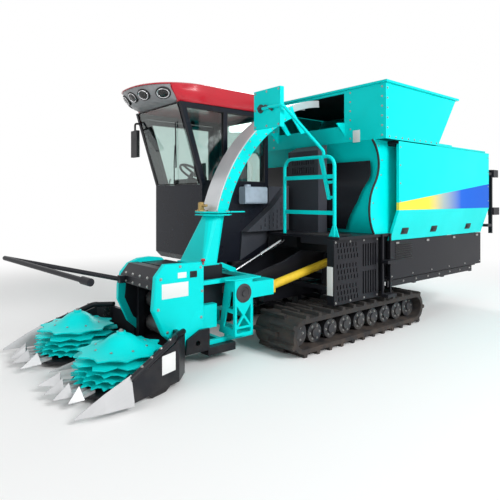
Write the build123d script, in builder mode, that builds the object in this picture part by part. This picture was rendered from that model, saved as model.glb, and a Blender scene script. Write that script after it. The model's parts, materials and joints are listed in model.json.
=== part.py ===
from build123d import *
import os
from math import atan2, cos, degrees, hypot, pi, radians, sin

os.makedirs("parts", exist_ok=True)

# Forage harvester on rubber tracks, with a two-rotor header, a swan-neck spout and a bale chamber.
# Millimetres. +X is forward, +Y is the machine's left and +Z is up. The origin is on the ground,
# under the middle of the machine's box. A range is written as (low, high).

# Clearances
SEAT_GAP = 0.3  # round pieces that seat in or on each other
RUN_GAP = 0.05  # a shaft that turns in its bore
SWING_GAP = 8  # round doors and covers

# Tracks
TRACK_Y = 775
BELT_WIDTH = 550
BELT_THICK = 45
LUG_HEIGHT = 35
LUG_PITCH = 90
LUG_ROOT = 54
LUG_TIP = 34
LUG_LENGTH = 345
LUG_BURY = 8
WHEEL_R = 122
FRONT_WHEEL_X = 960
REAR_WHEEL_X = -985
ROLLER_R = 100
ROLLER_COUNT = 7
WHEEL_FACE = 90
WHEEL_OFFSET = 120
AXLE_R = 28
HUB_R = 46
HUB_LENGTH = 18
BEAM_WIDTH = 110
BEAM_LOW = 150
BEAM_HIGH = 290
BEAM_END = 60

# Chassis
RAIL_Y = 340
RAIL_WIDTH = 80
RAIL_LOW = 420
RAIL_HIGH = 560
RAIL_FRONT_X = 900
RAIL_REAR_X = -2700
CROSS_TUBE = 60
CROSS_WIDTH = 80
OUTRIGGER_DEPTH = 80
OUTRIGGER_WIDTH = 60
FRONT_CROSS_DEPTH = 46  # low enough to clear the lift arms above it and the lift cylinder below it
SILL_Y = 972
POST = 60

# Lift pivot of the front attachment
PIVOT_X = 0
PIVOT_Z = 830
PIVOT_R = 30
PIVOT_PLATE = 30
PIVOT_PLATE_HALF = 70
RIGHT_ARM_Y = -30
LEFT_ARM_Y = 470
ARM_THICK = 30
ARM_PLAY = 12

# Deck and side covers beside it
DECK_Z = 1130
DECK_THICK = 30
DECK_FRONT_X = 455
DECK_LEFT_Y = 1040
DECK_RIGHT_Y = -60
SIDE_COVER_Y = 1000
SIDE_COVER_THICK = 20
SIDE_COVER_LOW = 420
SIDE_COVER_FRONT_X = 485
SIDE_COVER_SPLIT_X = 45
SIDE_COVER_REAR_X = -285
SIDE_COVER_RETURN = 95
STEP_DEPTH = 90
STEP_THICK = 35
STRAP = 20

# Baler box
BOX_FRONT_X = -465
BOX_REAR_X = -2795
BOX_TOP_Z = 2200
BOX_Y = 1150
KINK_Z = 1400
COVER_FOOT_Y = 1030
COVER_FOOT_Z = 1045
COVER_THICK = 35
LOWER_COVER_LOW = 590
SKIRT_LOW = 500
SKIRT_THICK = 25
SKIRT_REAR_X = -2560
CHAMBER_X = BOX_REAR_X + 645
CHAMBER_Z = 1330
CHAMBER_R = 520
CHAMBER_HALF = 600
CHAMBER_WALL = 20
CHAMBER_FRONT_X = -1365
GATE_BOTTOM_Z = 760
GATE_PIN = (CHAMBER_X - 35, BOX_TOP_Z - 35)
HINGE_R = 10
REAR_PANEL_THICK = 25
STAND_X = BOX_REAR_X - 180
STAND_BEND_X = BOX_REAR_X - 85
LAMP_REAR_X = STAND_X - 220

# Bin and hopper over the box
BIN_HALF = 985
BIN_WALL = 20
BIN_FLOOR_Z = 1230
BIN_FLOOR_THICK = 50
BIN_REAR_X = -1345
HOPPER_FRONT_X = -215
HOPPER_TOP_Z = 2845
HOPPER_REAR_X = -1815
HOPPER_WALL = 20
HOPPER_MOUTH_HALF = 570
HOPPER_MOUTH_DROP = 55
HOPPER_MOUTH_HEIGHT = 390
RIM = 25

# Cab
CAB_LEFT_Y = -100
CAB_RIGHT_Y = -1120
CAB_REAR_X = 405
CAB_FRONT_X = 1375
CAB_BASE_Z = 810
WAIST_Z = 1690
EAVES_Z = 2560
SCREEN_TOP_X = 1650
CAB_WALL = 50
PILLAR = 55
MIDDLE_PILLAR_X = 1030
GLASS = 8
PANE_INSET = 15
ROOF_FRONT_X = 1890
ROOF_TOP_Z = 2785
ROOF_OVERHANG = 30
VISOR_X = 1575
LAMP_PITCH = 240
LAMP_R = 55
DOOR_REAR_X = 520

# Header
HEADER_Y = 25
HEADER_HALF = 990
ROTOR_X = 2600
ROTOR_OFFSET = 490
ROTOR_R = 450
PAN_Z = 40
PAN_THICK = 18
PAN_R = 400
HEADER_REAR_X = 2255
HEADER_WALL = 35
WALL_FRONT_X = 2745
WALL_REAR_Z = 480
WALL_FRONT_Z = 257
RAIL_R = 26
TIP_X = 3195
SPINDLE_R = 60
SPINDLE_TOP = 90

# Throat, chopper and discharge
CHOPPER_Y = (-140, 500)
CHOPPER_X = (1800, 2075)
CHOPPER_Z = (150, 900)
CHOPPER_WALL = 20
CHOPPER_COVER = 58
COVER_BEVEL = 12
THROAT_X = (2075, 2135)
ROLL_X = 1965
ROLL_R = 85
SPOUT_Y = (50, 300)
SPOUT_X = -252
SPOUT_Z = 949
SPOUT_R = 1774
SPOUT_DEPTH = 130
SPOUT_SHEET = 12
SPOUT_END_DEG = 69
BLOWER_X = 1480
BLOWER_Y = (-50, 404)
BLOWER_Z = (470, 880)
DUCT_FOOT_X = (1528, 1707)
DUCT_FOOT_Y = (-46, 398)
DUCT_CORNER = 30
DUCT_R = 110
DUCT_SHEET = 12
FLANGE_X = 1420
FLANGE_Z = 1400
FLANGE_THICK = 12
FLANGE_HALF = 180
SLEW_R = 140
SLEW_THICK = 16
HITCH_X = (1175, 1605)
HITCH_Y = (-94, 520)
HITCH_Z = (150, 760)
HITCH_BAR = 40
TOWER_X = (1293, 1512)
TOWER_Y = (394, 650)
TOWER_Z = (215, 750)
TOWER_SHEET = 18
SHAFT_BOX_X = (1010, TOWER_X[0] + TOWER_SHEET)
SHAFT_BOX_Z = (560, 715)
SHAFT_Y = 605
SHAFT_R = 45

# Lift cylinder
CYLINDER_Y = 180
BASE_PIN_X = 400
BASE_PIN_Z = 430
EYE_PIN_X = 1120
EYE_PIN_Z = 335
EYE_HALF = 26
EYE_PLAY = 6
EYE_R = 34
LUG_PLATE = 20
LUG_SPACE = 4
LUG_YS = (CYLINDER_Y - EYE_HALF - LUG_SPACE - LUG_PLATE, CYLINDER_Y + EYE_HALF + LUG_SPACE)
PIN_R = 16
BARREL_R = 42
BARREL_LENGTH = 470
ROD_R = 22

pieces = {}


def side(y):
    """Upright plane along the machine at y, drawn as (x, z), with its normal to the machine's right."""
    return Plane.XZ.offset(-y)


def across(x):
    """Upright plane across the machine at x, drawn as (y, z), with its normal forward."""
    return Plane.YZ.offset(x)


def level(z):
    """Level plane at z, drawn as (x, y), with its normal up."""
    return Plane.XY.offset(z)


def block(x, y, z, mode=Mode.ADD):
    """A box between two corners."""
    with Locations((min(x), min(y), min(z))):
        Box(abs(x[1] - x[0]), abs(y[1] - y[0]), abs(z[1] - z[0]), align=(Align.MIN,) * 3, mode=mode)


def prism(plane, outline, depth, mode=Mode.ADD):
    """A straight prism of a polygon, raised from its plane."""
    with BuildSketch(plane) as face:
        Polygon(*outline, align=None)
    extrude(face.sketch, amount=depth, mode=mode)


def rod(start, end, radius, mode=Mode.ADD):
    """A round bar between two points."""
    run = Vector(*end) - Vector(*start)
    with Locations(Plane(origin=start, z_dir=run)):
        Cylinder(radius, run.length, align=(Align.CENTER, Align.CENTER, Align.MIN), mode=mode)


def drum(centre, radius, y, mode=Mode.ADD):
    """A cylinder lying across the machine round centre (x, z)."""
    rod((centre[0], y[0], centre[1]), (centre[0], y[1], centre[1]), radius, mode)


def tube(points, radius, bend):
    """A bent round tube along straight runs joined by arcs."""
    with BuildLine() as path:
        FilletPolyline(*points, radius=bend)
    with BuildSketch(Plane(origin=path.line @ 0, z_dir=path.line % 0)) as section:
        Circle(radius)
    sweep(section.sketch, path=path.line)


def sector(centre, radii, turn, plane, depth, mode=Mode.ADD):
    """A ring sector round centre, between two radii and two angles in degrees, raised from its plane."""
    inner, outer = radii
    middle = sum(turn) / 2

    def at(radius, angle):
        return (
            centre[0] + radius * cos(radians(angle)),
            centre[1] + radius * sin(radians(angle)),
        )

    with BuildSketch(plane) as face:
        with BuildLine():
            ThreePointArc(at(outer, turn[0]), at(outer, middle), at(outer, turn[1]))
            Line(at(outer, turn[1]), at(inner, turn[1]))
            ThreePointArc(at(inner, turn[1]), at(inner, middle), at(inner, turn[0]))
            Line(at(inner, turn[0]), at(outer, turn[0]))
        make_face()
    extrude(face.sketch, amount=depth, mode=mode)


# Tracks: a belt round two wheels, with bars that reach in from its two edges by turns
BELT_INNER_R = WHEEL_R + SEAT_GAP
BELT_OUTER_R = BELT_INNER_R + BELT_THICK
WHEEL_Z = LUG_HEIGHT + BELT_OUTER_R
ROLLER_Z = LUG_HEIGHT + BELT_THICK + SEAT_GAP + ROLLER_R
TRACK_RUN = FRONT_WHEEL_X - REAR_WHEEL_X
LOOP = 2 * TRACK_RUN + 2 * pi * BELT_OUTER_R
LUG_COUNT = 2 * round(LOOP / LUG_PITCH / 2)
TRACK_OUT_Y = TRACK_Y + BELT_WIDTH / 2
TRACK_IN_Y = TRACK_Y - BELT_WIDTH / 2
WHEEL_STATIONS = [
    (FRONT_WHEEL_X, WHEEL_Z, WHEEL_R),
    *((FRONT_WHEEL_X - TRACK_RUN * n / (ROLLER_COUNT + 1), ROLLER_Z, ROLLER_R) for n in range(1, ROLLER_COUNT + 1)),
    (REAR_WHEEL_X, WHEEL_Z, WHEEL_R),
]


def on_loop(distance):
    """Place on the belt's outer face with local y outwards, measured back along the ground."""
    end = pi * BELT_OUTER_R
    if distance < TRACK_RUN:
        return Location((FRONT_WHEEL_X - distance, WHEEL_Z - BELT_OUTER_R), (0, 0, 180))
    distance -= TRACK_RUN
    if distance < end:
        out = -pi / 2 - distance / BELT_OUTER_R
        place = (REAR_WHEEL_X + BELT_OUTER_R * cos(out), WHEEL_Z + BELT_OUTER_R * sin(out))
        return Location(place, (0, 0, degrees(out) - 90))
    distance -= end
    if distance < TRACK_RUN:
        return Location((REAR_WHEEL_X + distance, WHEEL_Z + BELT_OUTER_R), (0, 0, 0))
    out = pi / 2 - (distance - TRACK_RUN) / BELT_OUTER_R
    place = (FRONT_WHEEL_X + BELT_OUTER_R * cos(out), WHEEL_Z + BELT_OUTER_R * sin(out))
    return Location(place, (0, 0, degrees(out) - 90))


with BuildPart() as track_left:
    with BuildSketch(side(TRACK_OUT_Y)):
        with Locations(((FRONT_WHEEL_X + REAR_WHEEL_X) / 2, WHEEL_Z)):
            SlotCenterToCenter(TRACK_RUN, 2 * BELT_OUTER_R)
            SlotCenterToCenter(TRACK_RUN, 2 * BELT_INNER_R, mode=Mode.SUBTRACT)
    extrude(amount=BELT_WIDTH)
    for first, edge_y in ((0, TRACK_OUT_Y), (1, TRACK_IN_Y + LUG_LENGTH)):
        with BuildSketch(side(edge_y)):
            with Locations(*(on_loop(LOOP * n / LUG_COUNT) for n in range(first, LUG_COUNT, 2))):
                Polygon(
                    (-LUG_ROOT / 2, -LUG_BURY),
                    (LUG_ROOT / 2, -LUG_BURY),
                    (LUG_TIP / 2, LUG_HEIGHT),
                    (-LUG_TIP / 2, LUG_HEIGHT),
                    align=None,
                )
        extrude(amount=LUG_LENGTH)
pieces["track_left"] = track_left.part

with BuildPart() as track_right:
    mirror(track_left.part, about=Plane.XZ)
pieces["track_right"] = track_right.part

with BuildPart() as track_wheels:
    for x, z, radius in WHEEL_STATIONS:
        inner = TRACK_Y - WHEEL_OFFSET - WHEEL_FACE / 2
        outer = TRACK_Y + WHEEL_OFFSET + WHEEL_FACE / 2
        drum((x, z), AXLE_R, (inner, outer))
        drum((x, z), radius, (inner, inner + WHEEL_FACE))
        drum((x, z), radius, (outer - WHEEL_FACE, outer))
        drum((x, z), HUB_R, (outer, outer + HUB_LENGTH))
    mirror(about=Plane.XZ)
pieces["track_wheels"] = track_wheels.part

with BuildPart() as track_beams:
    block(
        (REAR_WHEEL_X - BEAM_END, FRONT_WHEEL_X + BEAM_END),
        (TRACK_Y - BEAM_WIDTH / 2, TRACK_Y + BEAM_WIDTH / 2),
        (BEAM_LOW, BEAM_HIGH),
    )
    for x, z, radius in WHEEL_STATIONS:
        drum((x, z), AXLE_R + SEAT_GAP, (TRACK_Y - BEAM_WIDTH, TRACK_Y + BEAM_WIDTH), Mode.SUBTRACT)
    mirror(about=Plane.XZ)
pieces["track_beams"] = track_beams.part

# Chassis: two rails on cross tubes between the roller beams, with outriggers, posts and pivot plates
TUBE_STATIONS = [(WHEEL_STATIONS[n][0] + WHEEL_STATIONS[n + 1][0]) / 2 for n in (2, 5)]
DECK_UNDER = DECK_Z - DECK_THICK
RIGHT_PLATE_Y = RIGHT_ARM_Y - ARM_THICK / 2 - ARM_PLAY - PIVOT_PLATE
LEFT_PLATE_Y = LEFT_ARM_Y + ARM_THICK / 2 + ARM_PLAY
RAIL_OUT = RAIL_Y + RAIL_WIDTH / 2
COVER_INSIDE_Y = SIDE_COVER_Y - SIDE_COVER_THICK
CAB_REACH = 1000
OVER_RAILS = (RAIL_HIGH, RAIL_HIGH + FRONT_CROSS_DEPTH)
IN_RAILS = (RAIL_HIGH - OUTRIGGER_DEPTH, RAIL_HIGH)
OUTRIGGERS = (
    # x, left reach, right reach, heights
    (850, RAIL_OUT, CAB_REACH, OVER_RAILS),
    (430, COVER_INSIDE_Y, CAB_REACH, OVER_RAILS),
    (-410, COVER_INSIDE_Y, SILL_Y, IN_RAILS),
    (-1100, SILL_Y, SILL_Y, IN_RAILS),
    (-1800, SILL_Y, SILL_Y, IN_RAILS),
    (-2600, SILL_Y, SILL_Y, IN_RAILS),
)

with BuildPart() as chassis_frame:
    for hand in (1, -1):
        rail = (hand * (RAIL_Y - RAIL_WIDTH / 2), hand * RAIL_OUT)
        block((RAIL_REAR_X, RAIL_FRONT_X), rail, (RAIL_LOW, RAIL_HIGH))
        for x in TUBE_STATIONS:
            block((x - CROSS_TUBE / 2, x + CROSS_TUBE / 2), rail, (BEAM_HIGH - CROSS_TUBE, RAIL_LOW))
    for x in TUBE_STATIONS:
        reach = TRACK_Y - BEAM_WIDTH / 2
        block(
            (x - CROSS_TUBE / 2, x + CROSS_TUBE / 2),
            (-reach, reach),
            (BEAM_HIGH - CROSS_TUBE, BEAM_HIGH),
        )
    for x, left, right, heights in OUTRIGGERS:
        block((x - OUTRIGGER_WIDTH / 2, x + OUTRIGGER_WIDTH / 2), (-right, left), heights)
    for y in (RIGHT_PLATE_Y, LEFT_PLATE_Y):
        prism(
            side(y + PIVOT_PLATE),
            (
                (PIVOT_X - 2 * PIVOT_PLATE_HALF, RAIL_LOW),
                (PIVOT_X + 2 * PIVOT_PLATE_HALF, RAIL_LOW),
                (PIVOT_X + PIVOT_PLATE_HALF, PIVOT_Z + PIVOT_PLATE_HALF),
                (PIVOT_X - PIVOT_PLATE_HALF, PIVOT_Z + PIVOT_PLATE_HALF),
            ),
            PIVOT_PLATE,
        )
    block(
        (PIVOT_X - CROSS_WIDTH / 2, PIVOT_X + CROSS_WIDTH / 2),
        (RIGHT_PLATE_Y, LEFT_PLATE_Y + PIVOT_PLATE),
        (RAIL_LOW, RAIL_LOW + OUTRIGGER_DEPTH),
    )
    drum((PIVOT_X, PIVOT_Z), PIVOT_R, (RIGHT_PLATE_Y, LEFT_PLATE_Y + PIVOT_PLATE))
    for x, y in ((412, COVER_INSIDE_Y - POST), (-410, COVER_INSIDE_Y - POST), (-410, RAIL_Y - POST / 2)):
        block((x - POST / 2, x + POST / 2), (y, y + POST), (RAIL_HIGH, DECK_UNDER))
    for x, y in ((850, -900), (440, -900), (850, -RAIL_Y), (440, -RAIL_Y)):
        block((x - POST / 2, x + POST / 2), (y - POST / 2, y + POST / 2), (RAIL_HIGH, CAB_BASE_Z))
    block((BASE_PIN_X - 140, BASE_PIN_X - 60), (-RAIL_Y, RAIL_Y), (RAIL_LOW, RAIL_LOW + OUTRIGGER_DEPTH))
    for y in LUG_YS:
        block((BASE_PIN_X - 140, BASE_PIN_X + 30), (y, y + LUG_PLATE), (BASE_PIN_Z - 36, BASE_PIN_Z + 36))
    drum((BASE_PIN_X, BASE_PIN_Z), PIN_R, (LUG_YS[0], LUG_YS[1] + LUG_PLATE))
    block(
        (PIVOT_X - 220, PIVOT_X - 30),
        (LEFT_PLATE_Y + PIVOT_PLATE, SHAFT_Y + 80),
        (PIVOT_Z - 90, PIVOT_Z + 80),
    )
    block((PIVOT_X - 220, PIVOT_X - 30), (LEFT_PLATE_Y, LEFT_PLATE_Y + PIVOT_PLATE), (RAIL_LOW, PIVOT_Z + 80))
pieces["chassis_frame"] = chassis_frame.part

ENGINE_X = (-60, 360)
ENGINE_Y = (-930, -130)
ENGINE_Z = (RAIL_HIGH, 1400)
with BuildPart() as engine_block:
    block(ENGINE_X, ENGINE_Y, ENGINE_Z)
pieces["engine_block"] = engine_block.part

# Deck, side covers, steps and the covers behind the cab
with BuildPart() as deck:
    block((BOX_FRONT_X + 25, DECK_FRONT_X), (DECK_RIGHT_Y, DECK_LEFT_Y), (DECK_UNDER, DECK_Z))
    block((DECK_FRONT_X - 12, DECK_FRONT_X), (LEFT_PLATE_Y, COVER_INSIDE_Y - 5), (DECK_UNDER - 60, DECK_UNDER))
pieces["deck"] = deck.part

SLOT_WIDTH = 16
SLOT_HEIGHT = 46
SLOT_PITCH_X = 52
SLOT_PITCH_Z = 62
SLAT_PITCH = 45
SLAT_WIDTH = 22
SLAT_HEIGHT = 250
SLAT_RIB = 50
COVER_TOP = DECK_UNDER
with BuildPart() as side_cover_left:
    block((SIDE_COVER_REAR_X, SIDE_COVER_FRONT_X), (COVER_INSIDE_Y, SIDE_COVER_Y), (SIDE_COVER_LOW, COVER_TOP))
    block(
        (SIDE_COVER_FRONT_X - SIDE_COVER_THICK, SIDE_COVER_FRONT_X),
        (SIDE_COVER_Y - SIDE_COVER_RETURN, SIDE_COVER_Y),
        (SIDE_COVER_LOW, COVER_TOP),
    )
    cover_mid = (SIDE_COVER_SPLIT_X + SIDE_COVER_FRONT_X) / 2
    for group_z in (540, 760, 980):
        with BuildSketch(side(SIDE_COVER_Y)):
            for row in (-1, 0, 1):
                with Locations((cover_mid + row * SLOT_PITCH_X / 4, group_z + row * SLOT_PITCH_Z)):
                    with GridLocations(SLOT_PITCH_X, 1, 7, 1):
                        Rectangle(SLOT_WIDTH, SLOT_HEIGHT)
        extrude(amount=SIDE_COVER_THICK, mode=Mode.SUBTRACT)
    with BuildSketch(side(SIDE_COVER_Y)):
        with Locations(((SIDE_COVER_REAR_X + SIDE_COVER_SPLIT_X) / 2, (SIDE_COVER_LOW + COVER_TOP) / 2)):
            with GridLocations(SLAT_PITCH, SLAT_HEIGHT + SLAT_RIB, 6, 2):
                Rectangle(SLAT_WIDTH, SLAT_HEIGHT)
    extrude(amount=SIDE_COVER_THICK, mode=Mode.SUBTRACT)
pieces["side_cover_left"] = side_cover_left.part

STEP_X = (BOX_FRONT_X + SWING_GAP, SIDE_COVER_REAR_X)
with BuildPart() as steps_left:
    for x in (STEP_X[0], STEP_X[1] - STRAP):
        block((x, x + STRAP), (DECK_LEFT_Y, DECK_LEFT_Y + STRAP), (SIDE_COVER_LOW, DECK_Z))
    for z in (SIDE_COVER_LOW, 800):
        block(STEP_X, (DECK_LEFT_Y, DECK_LEFT_Y + STEP_DEPTH), (z, z + STEP_THICK))
pieces["steps_left"] = steps_left.part

ENGINE_COVER_X = (-100, 395)
ENGINE_COVER_Y = (-1060, -105)
ENGINE_COVER_Z = (RAIL_HIGH + 40, 1680)
AIR_X = (-100, 55)
AIR_Y = (-105, 400)
AIR_TOP = 2110
AIR_RISE = 70
SHEET = 20
with BuildPart() as engine_cover:
    block(ENGINE_COVER_X, ENGINE_COVER_Y, ENGINE_COVER_Z)
    prism(
        side(AIR_Y[1]),
        ((AIR_X[0], DECK_Z), (AIR_X[1], DECK_Z), (AIR_X[1], AIR_TOP), (AIR_X[0], AIR_TOP + AIR_RISE)),
        AIR_Y[1] - AIR_Y[0],
    )
    block(
        (ENGINE_COVER_X[0] + SHEET, ENGINE_COVER_X[1] - SHEET),
        (ENGINE_COVER_Y[0] + SHEET, ENGINE_COVER_Y[1] - SHEET),
        (ENGINE_COVER_Z[0], ENGINE_COVER_Z[1] - SHEET),
        Mode.SUBTRACT,
    )
    block(
        (AIR_X[0] + SHEET, AIR_X[1] - SHEET),
        (AIR_Y[0] + SHEET, AIR_Y[1] - SHEET),
        (DECK_Z, AIR_TOP - SHEET),
        Mode.SUBTRACT,
    )
    with BuildSketch(side(ENGINE_COVER_Y[0] + SHEET)):
        with Locations((sum(ENGINE_COVER_X) / 2, 1200)):
            with GridLocations(1, 60, 1, 12):
                Rectangle(400, 24)
    extrude(amount=SHEET, mode=Mode.SUBTRACT)
    with BuildSketch(across(AIR_X[1] - SHEET)):
        with Locations((sum(AIR_Y) / 2, 1930)):
            with GridLocations(38, 110, 10, 2):
                Rectangle(18, 80)
    extrude(amount=SHEET, mode=Mode.SUBTRACT)
pieces["engine_cover"] = engine_cover.part

GUARD_Y = CAB_LEFT_Y + 22
GUARD_BOX_Y = CAB_LEFT_Y + 110
GUARD_SHEET = (
    (860, CAB_BASE_Z + 10),
    (830, 1150),
    (420, 1440),
    (160, 1690),
    (160, DECK_Z),
    (400, DECK_Z),
    (470, 1000),
)
GUARD_BOX = ((832, 1150), (420, 1440), (160, 1690), (160, 1150))
VENT = (16, 44)
VENT_DEPTH = 10
VENT_COLUMNS = (
    # x, lowest z, count
    (230, 1190, 6),
    (295, 1215, 5),
    (360, 1190, 4),
    (425, 1215, 3),
    (490, 1190, 3),
    (555, 1215, 2),
    (620, 1190, 1),
)
VENT_PITCH = 62
with BuildPart() as side_guard:
    prism(side(GUARD_Y), GUARD_SHEET, GUARD_Y - CAB_LEFT_Y)
    prism(side(GUARD_BOX_Y), GUARD_BOX, GUARD_BOX_Y - CAB_LEFT_Y)
    with BuildSketch(side(GUARD_BOX_Y)):
        for x, low, count in VENT_COLUMNS:
            with Locations(*((x, low + n * VENT_PITCH) for n in range(count))):
                Rectangle(*VENT)
    extrude(amount=VENT_DEPTH, mode=Mode.SUBTRACT)
pieces["side_guard"] = side_guard.part

with BuildPart() as tank:
    block((520, 860), (CAB_LEFT_Y, 15), (1470, 1670))
    fillet(tank.edges().filter_by(Axis.X), 30)
    with Locations((780, -45, 1670)):
        Cylinder(38, 24, align=(Align.CENTER, Align.CENTER, Align.MIN))
pieces["tank"] = tank.part

# Handrail at the front of the deck, and the guide plate on its stay pipe
HANDRAIL_X = DECK_FRONT_X - 25
HANDRAIL_Y = (215, 960)
HANDRAIL_TOP = 1980
HANDRAIL_R = 19
RAIL_PLATE = 12
RAIL_GUSSET = ((885, DECK_Z), (1020, DECK_Z), (972, 1270), (948, 1270))
RAIL_STRIP = ((755, 1985), (802, 1985), (908, 1520), (884, 1520))
RAIL_CLAMPS = (1530, 1690)
with BuildPart() as handrail:
    tube(
        (
            (HANDRAIL_X, HANDRAIL_Y[0], DECK_Z),
            (HANDRAIL_X, HANDRAIL_Y[0], HANDRAIL_TOP),
            (HANDRAIL_X, HANDRAIL_Y[1], HANDRAIL_TOP),
            (HANDRAIL_X, HANDRAIL_Y[1], DECK_Z),
        ),
        HANDRAIL_R,
        110,
    )
    for z in (1380, 1765):
        block((HANDRAIL_X - 6, HANDRAIL_X + 6), HANDRAIL_Y, (z - 22, z + 22))
    prism(across(HANDRAIL_X - RAIL_PLATE / 2), RAIL_GUSSET, RAIL_PLATE)
    prism(across(HANDRAIL_X - RAIL_PLATE / 2), RAIL_STRIP, HANDRAIL_R + RAIL_PLATE)
    for z in RAIL_CLAMPS:
        block((HANDRAIL_X - RAIL_PLATE / 2, HANDRAIL_X + RAIL_PLATE / 2), (HANDRAIL_Y[1] - 100, HANDRAIL_Y[1]), (z, z + 30))
pieces["handrail"] = handrail.part

PLATE_X = 1055
PLATE_Y = (408, 805)
PLATE_Z = (2245, 2645)
STAY_R = 17
with BuildPart() as guide_plate:
    block((PLATE_X, PLATE_X + 12), PLATE_Y, PLATE_Z)
    block((PLATE_X - 40, PLATE_X), (PLATE_Y[1] - 12, PLATE_Y[1]), PLATE_Z)
    tube(
        (
            (HANDRAIL_X, HANDRAIL_Y[1] - 150, HANDRAIL_TOP + HANDRAIL_R),
            (HANDRAIL_X, HANDRAIL_Y[1] - 150, HANDRAIL_TOP + 60),
            (PLATE_X + 10 + STAY_R, PLATE_Y[1] + 50, 2450),
            (PLATE_X + 10 + STAY_R, 560, 2450),
        ),
        STAY_R,
        40,
    )
pieces["guide_plate"] = guide_plate.part

# Bin with S-shaped front, and the hopper on it
S_TOP = (-180, BOX_TOP_Z)
S_HOLLOW = (-302, 1880)
S_TURN = (-217, 1690)
S_BULGE = (-132, 1490)
S_FOOT = (-207, DECK_Z)


def s_edge(shift=0):
    """The bin's S-shaped front edge, moved back by shift."""
    a, b, c, d, e = ((x - shift, z) for x, z in (S_TOP, S_HOLLOW, S_TURN, S_BULGE, S_FOOT))
    ThreePointArc(a, b, c)
    ThreePointArc(c, d, e)
    return a, e


with BuildPart() as bin_sides:
    for y in (BIN_HALF + BIN_WALL, -BIN_HALF):
        with BuildSketch(side(y)):
            with BuildLine():
                top, foot = s_edge()
                Polyline(foot, (BIN_REAR_X, foot[1]), (BIN_REAR_X, top[1]), top)
            make_face()
        extrude(amount=BIN_WALL)
pieces["bin_sides"] = bin_sides.part

BIN_FRONT_SHIFT = 45
BIN_SHEET = 10
with BuildPart() as bin_lining:
    with BuildSketch(side(BIN_HALF)):
        with BuildLine():
            top, foot = s_edge(BIN_FRONT_SHIFT)
            back_top, back_foot = s_edge(BIN_FRONT_SHIFT + BIN_SHEET)
            Line(top, back_top)
            Line(foot, back_foot)
        make_face()
    extrude(amount=2 * BIN_HALF)
    block(
        (BIN_REAR_X, S_FOOT[0] - BIN_FRONT_SHIFT / 2),
        (-BIN_HALF, BIN_HALF),
        (BIN_FLOOR_Z - BIN_FLOOR_THICK, BIN_FLOOR_Z),
    )
pieces["bin_lining"] = bin_lining.part

SLOPE = atan2(HOPPER_TOP_Z - BOX_TOP_Z, BIN_REAR_X - HOPPER_REAR_X)
REAR_STEP = HOPPER_WALL / sin(SLOPE)
MOUTH_LOW = HOPPER_TOP_Z - HOPPER_MOUTH_DROP - HOPPER_MOUTH_HEIGHT
WING_SHEET = 12
WING = (
    (HOPPER_FRONT_X - HOPPER_WALL / 2, MOUTH_LOW + 40),
    (HOPPER_FRONT_X + 155, MOUTH_LOW + 20),
    (HOPPER_FRONT_X - HOPPER_WALL / 2, MOUTH_LOW - 130),
)
with BuildPart() as hopper:
    outline = (
        (HOPPER_FRONT_X, BOX_TOP_Z),
        (HOPPER_FRONT_X, HOPPER_TOP_Z),
        (HOPPER_REAR_X, HOPPER_TOP_Z),
        (BIN_REAR_X, BOX_TOP_Z),
    )
    prism(side(BOX_Y), outline, 2 * BOX_Y)
    rim_z = (HOPPER_TOP_Z - RIM, HOPPER_TOP_Z)
    rim_x = (HOPPER_REAR_X - RIM, HOPPER_FRONT_X + RIM)
    block(rim_x, (-BOX_Y - RIM, BOX_Y + RIM), rim_z)
    inside = (
        (HOPPER_FRONT_X - HOPPER_WALL, BOX_TOP_Z),
        (HOPPER_FRONT_X - HOPPER_WALL, HOPPER_TOP_Z),
        (HOPPER_REAR_X + REAR_STEP, HOPPER_TOP_Z),
        (BIN_REAR_X + REAR_STEP, BOX_TOP_Z),
    )
    prism(side(BOX_Y - HOPPER_WALL), inside, 2 * (BOX_Y - HOPPER_WALL), Mode.SUBTRACT)
    for y in (HOPPER_MOUTH_HALF + WING_SHEET, -HOPPER_MOUTH_HALF):
        prism(side(y), WING, WING_SHEET)
    block(
        (HOPPER_FRONT_X - HOPPER_WALL, HOPPER_FRONT_X),
        (-HOPPER_MOUTH_HALF, HOPPER_MOUTH_HALF),
        (MOUTH_LOW, HOPPER_TOP_Z - HOPPER_MOUTH_DROP),
        Mode.SUBTRACT,
    )
pieces["hopper"] = hopper.part

# Baler box: frame, roof, bale chamber, covers, skirts and tailgate
TOP_RAIL_Y = (BIN_HALF + BIN_WALL, BOX_Y - COVER_THICK - 22)
COVER_X = (BOX_REAR_X + SWING_GAP, BOX_FRONT_X - SWING_GAP)
FRAME_X = (BOX_REAR_X + POST, COVER_X[1] + 3)
COVER_TOP_Z = BOX_TOP_Z - 14  # leaves room for the cover's top edge to swing under the hopper
UPPER_PIN = (BOX_Y - COVER_THICK / 2, COVER_TOP_Z - 14)
LOWER_PIN = (COVER_FOOT_Y - COVER_THICK / 2, LOWER_COVER_LOW + 16)
HINGE_EAR = 14
HINGE_REACH = 30
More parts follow.
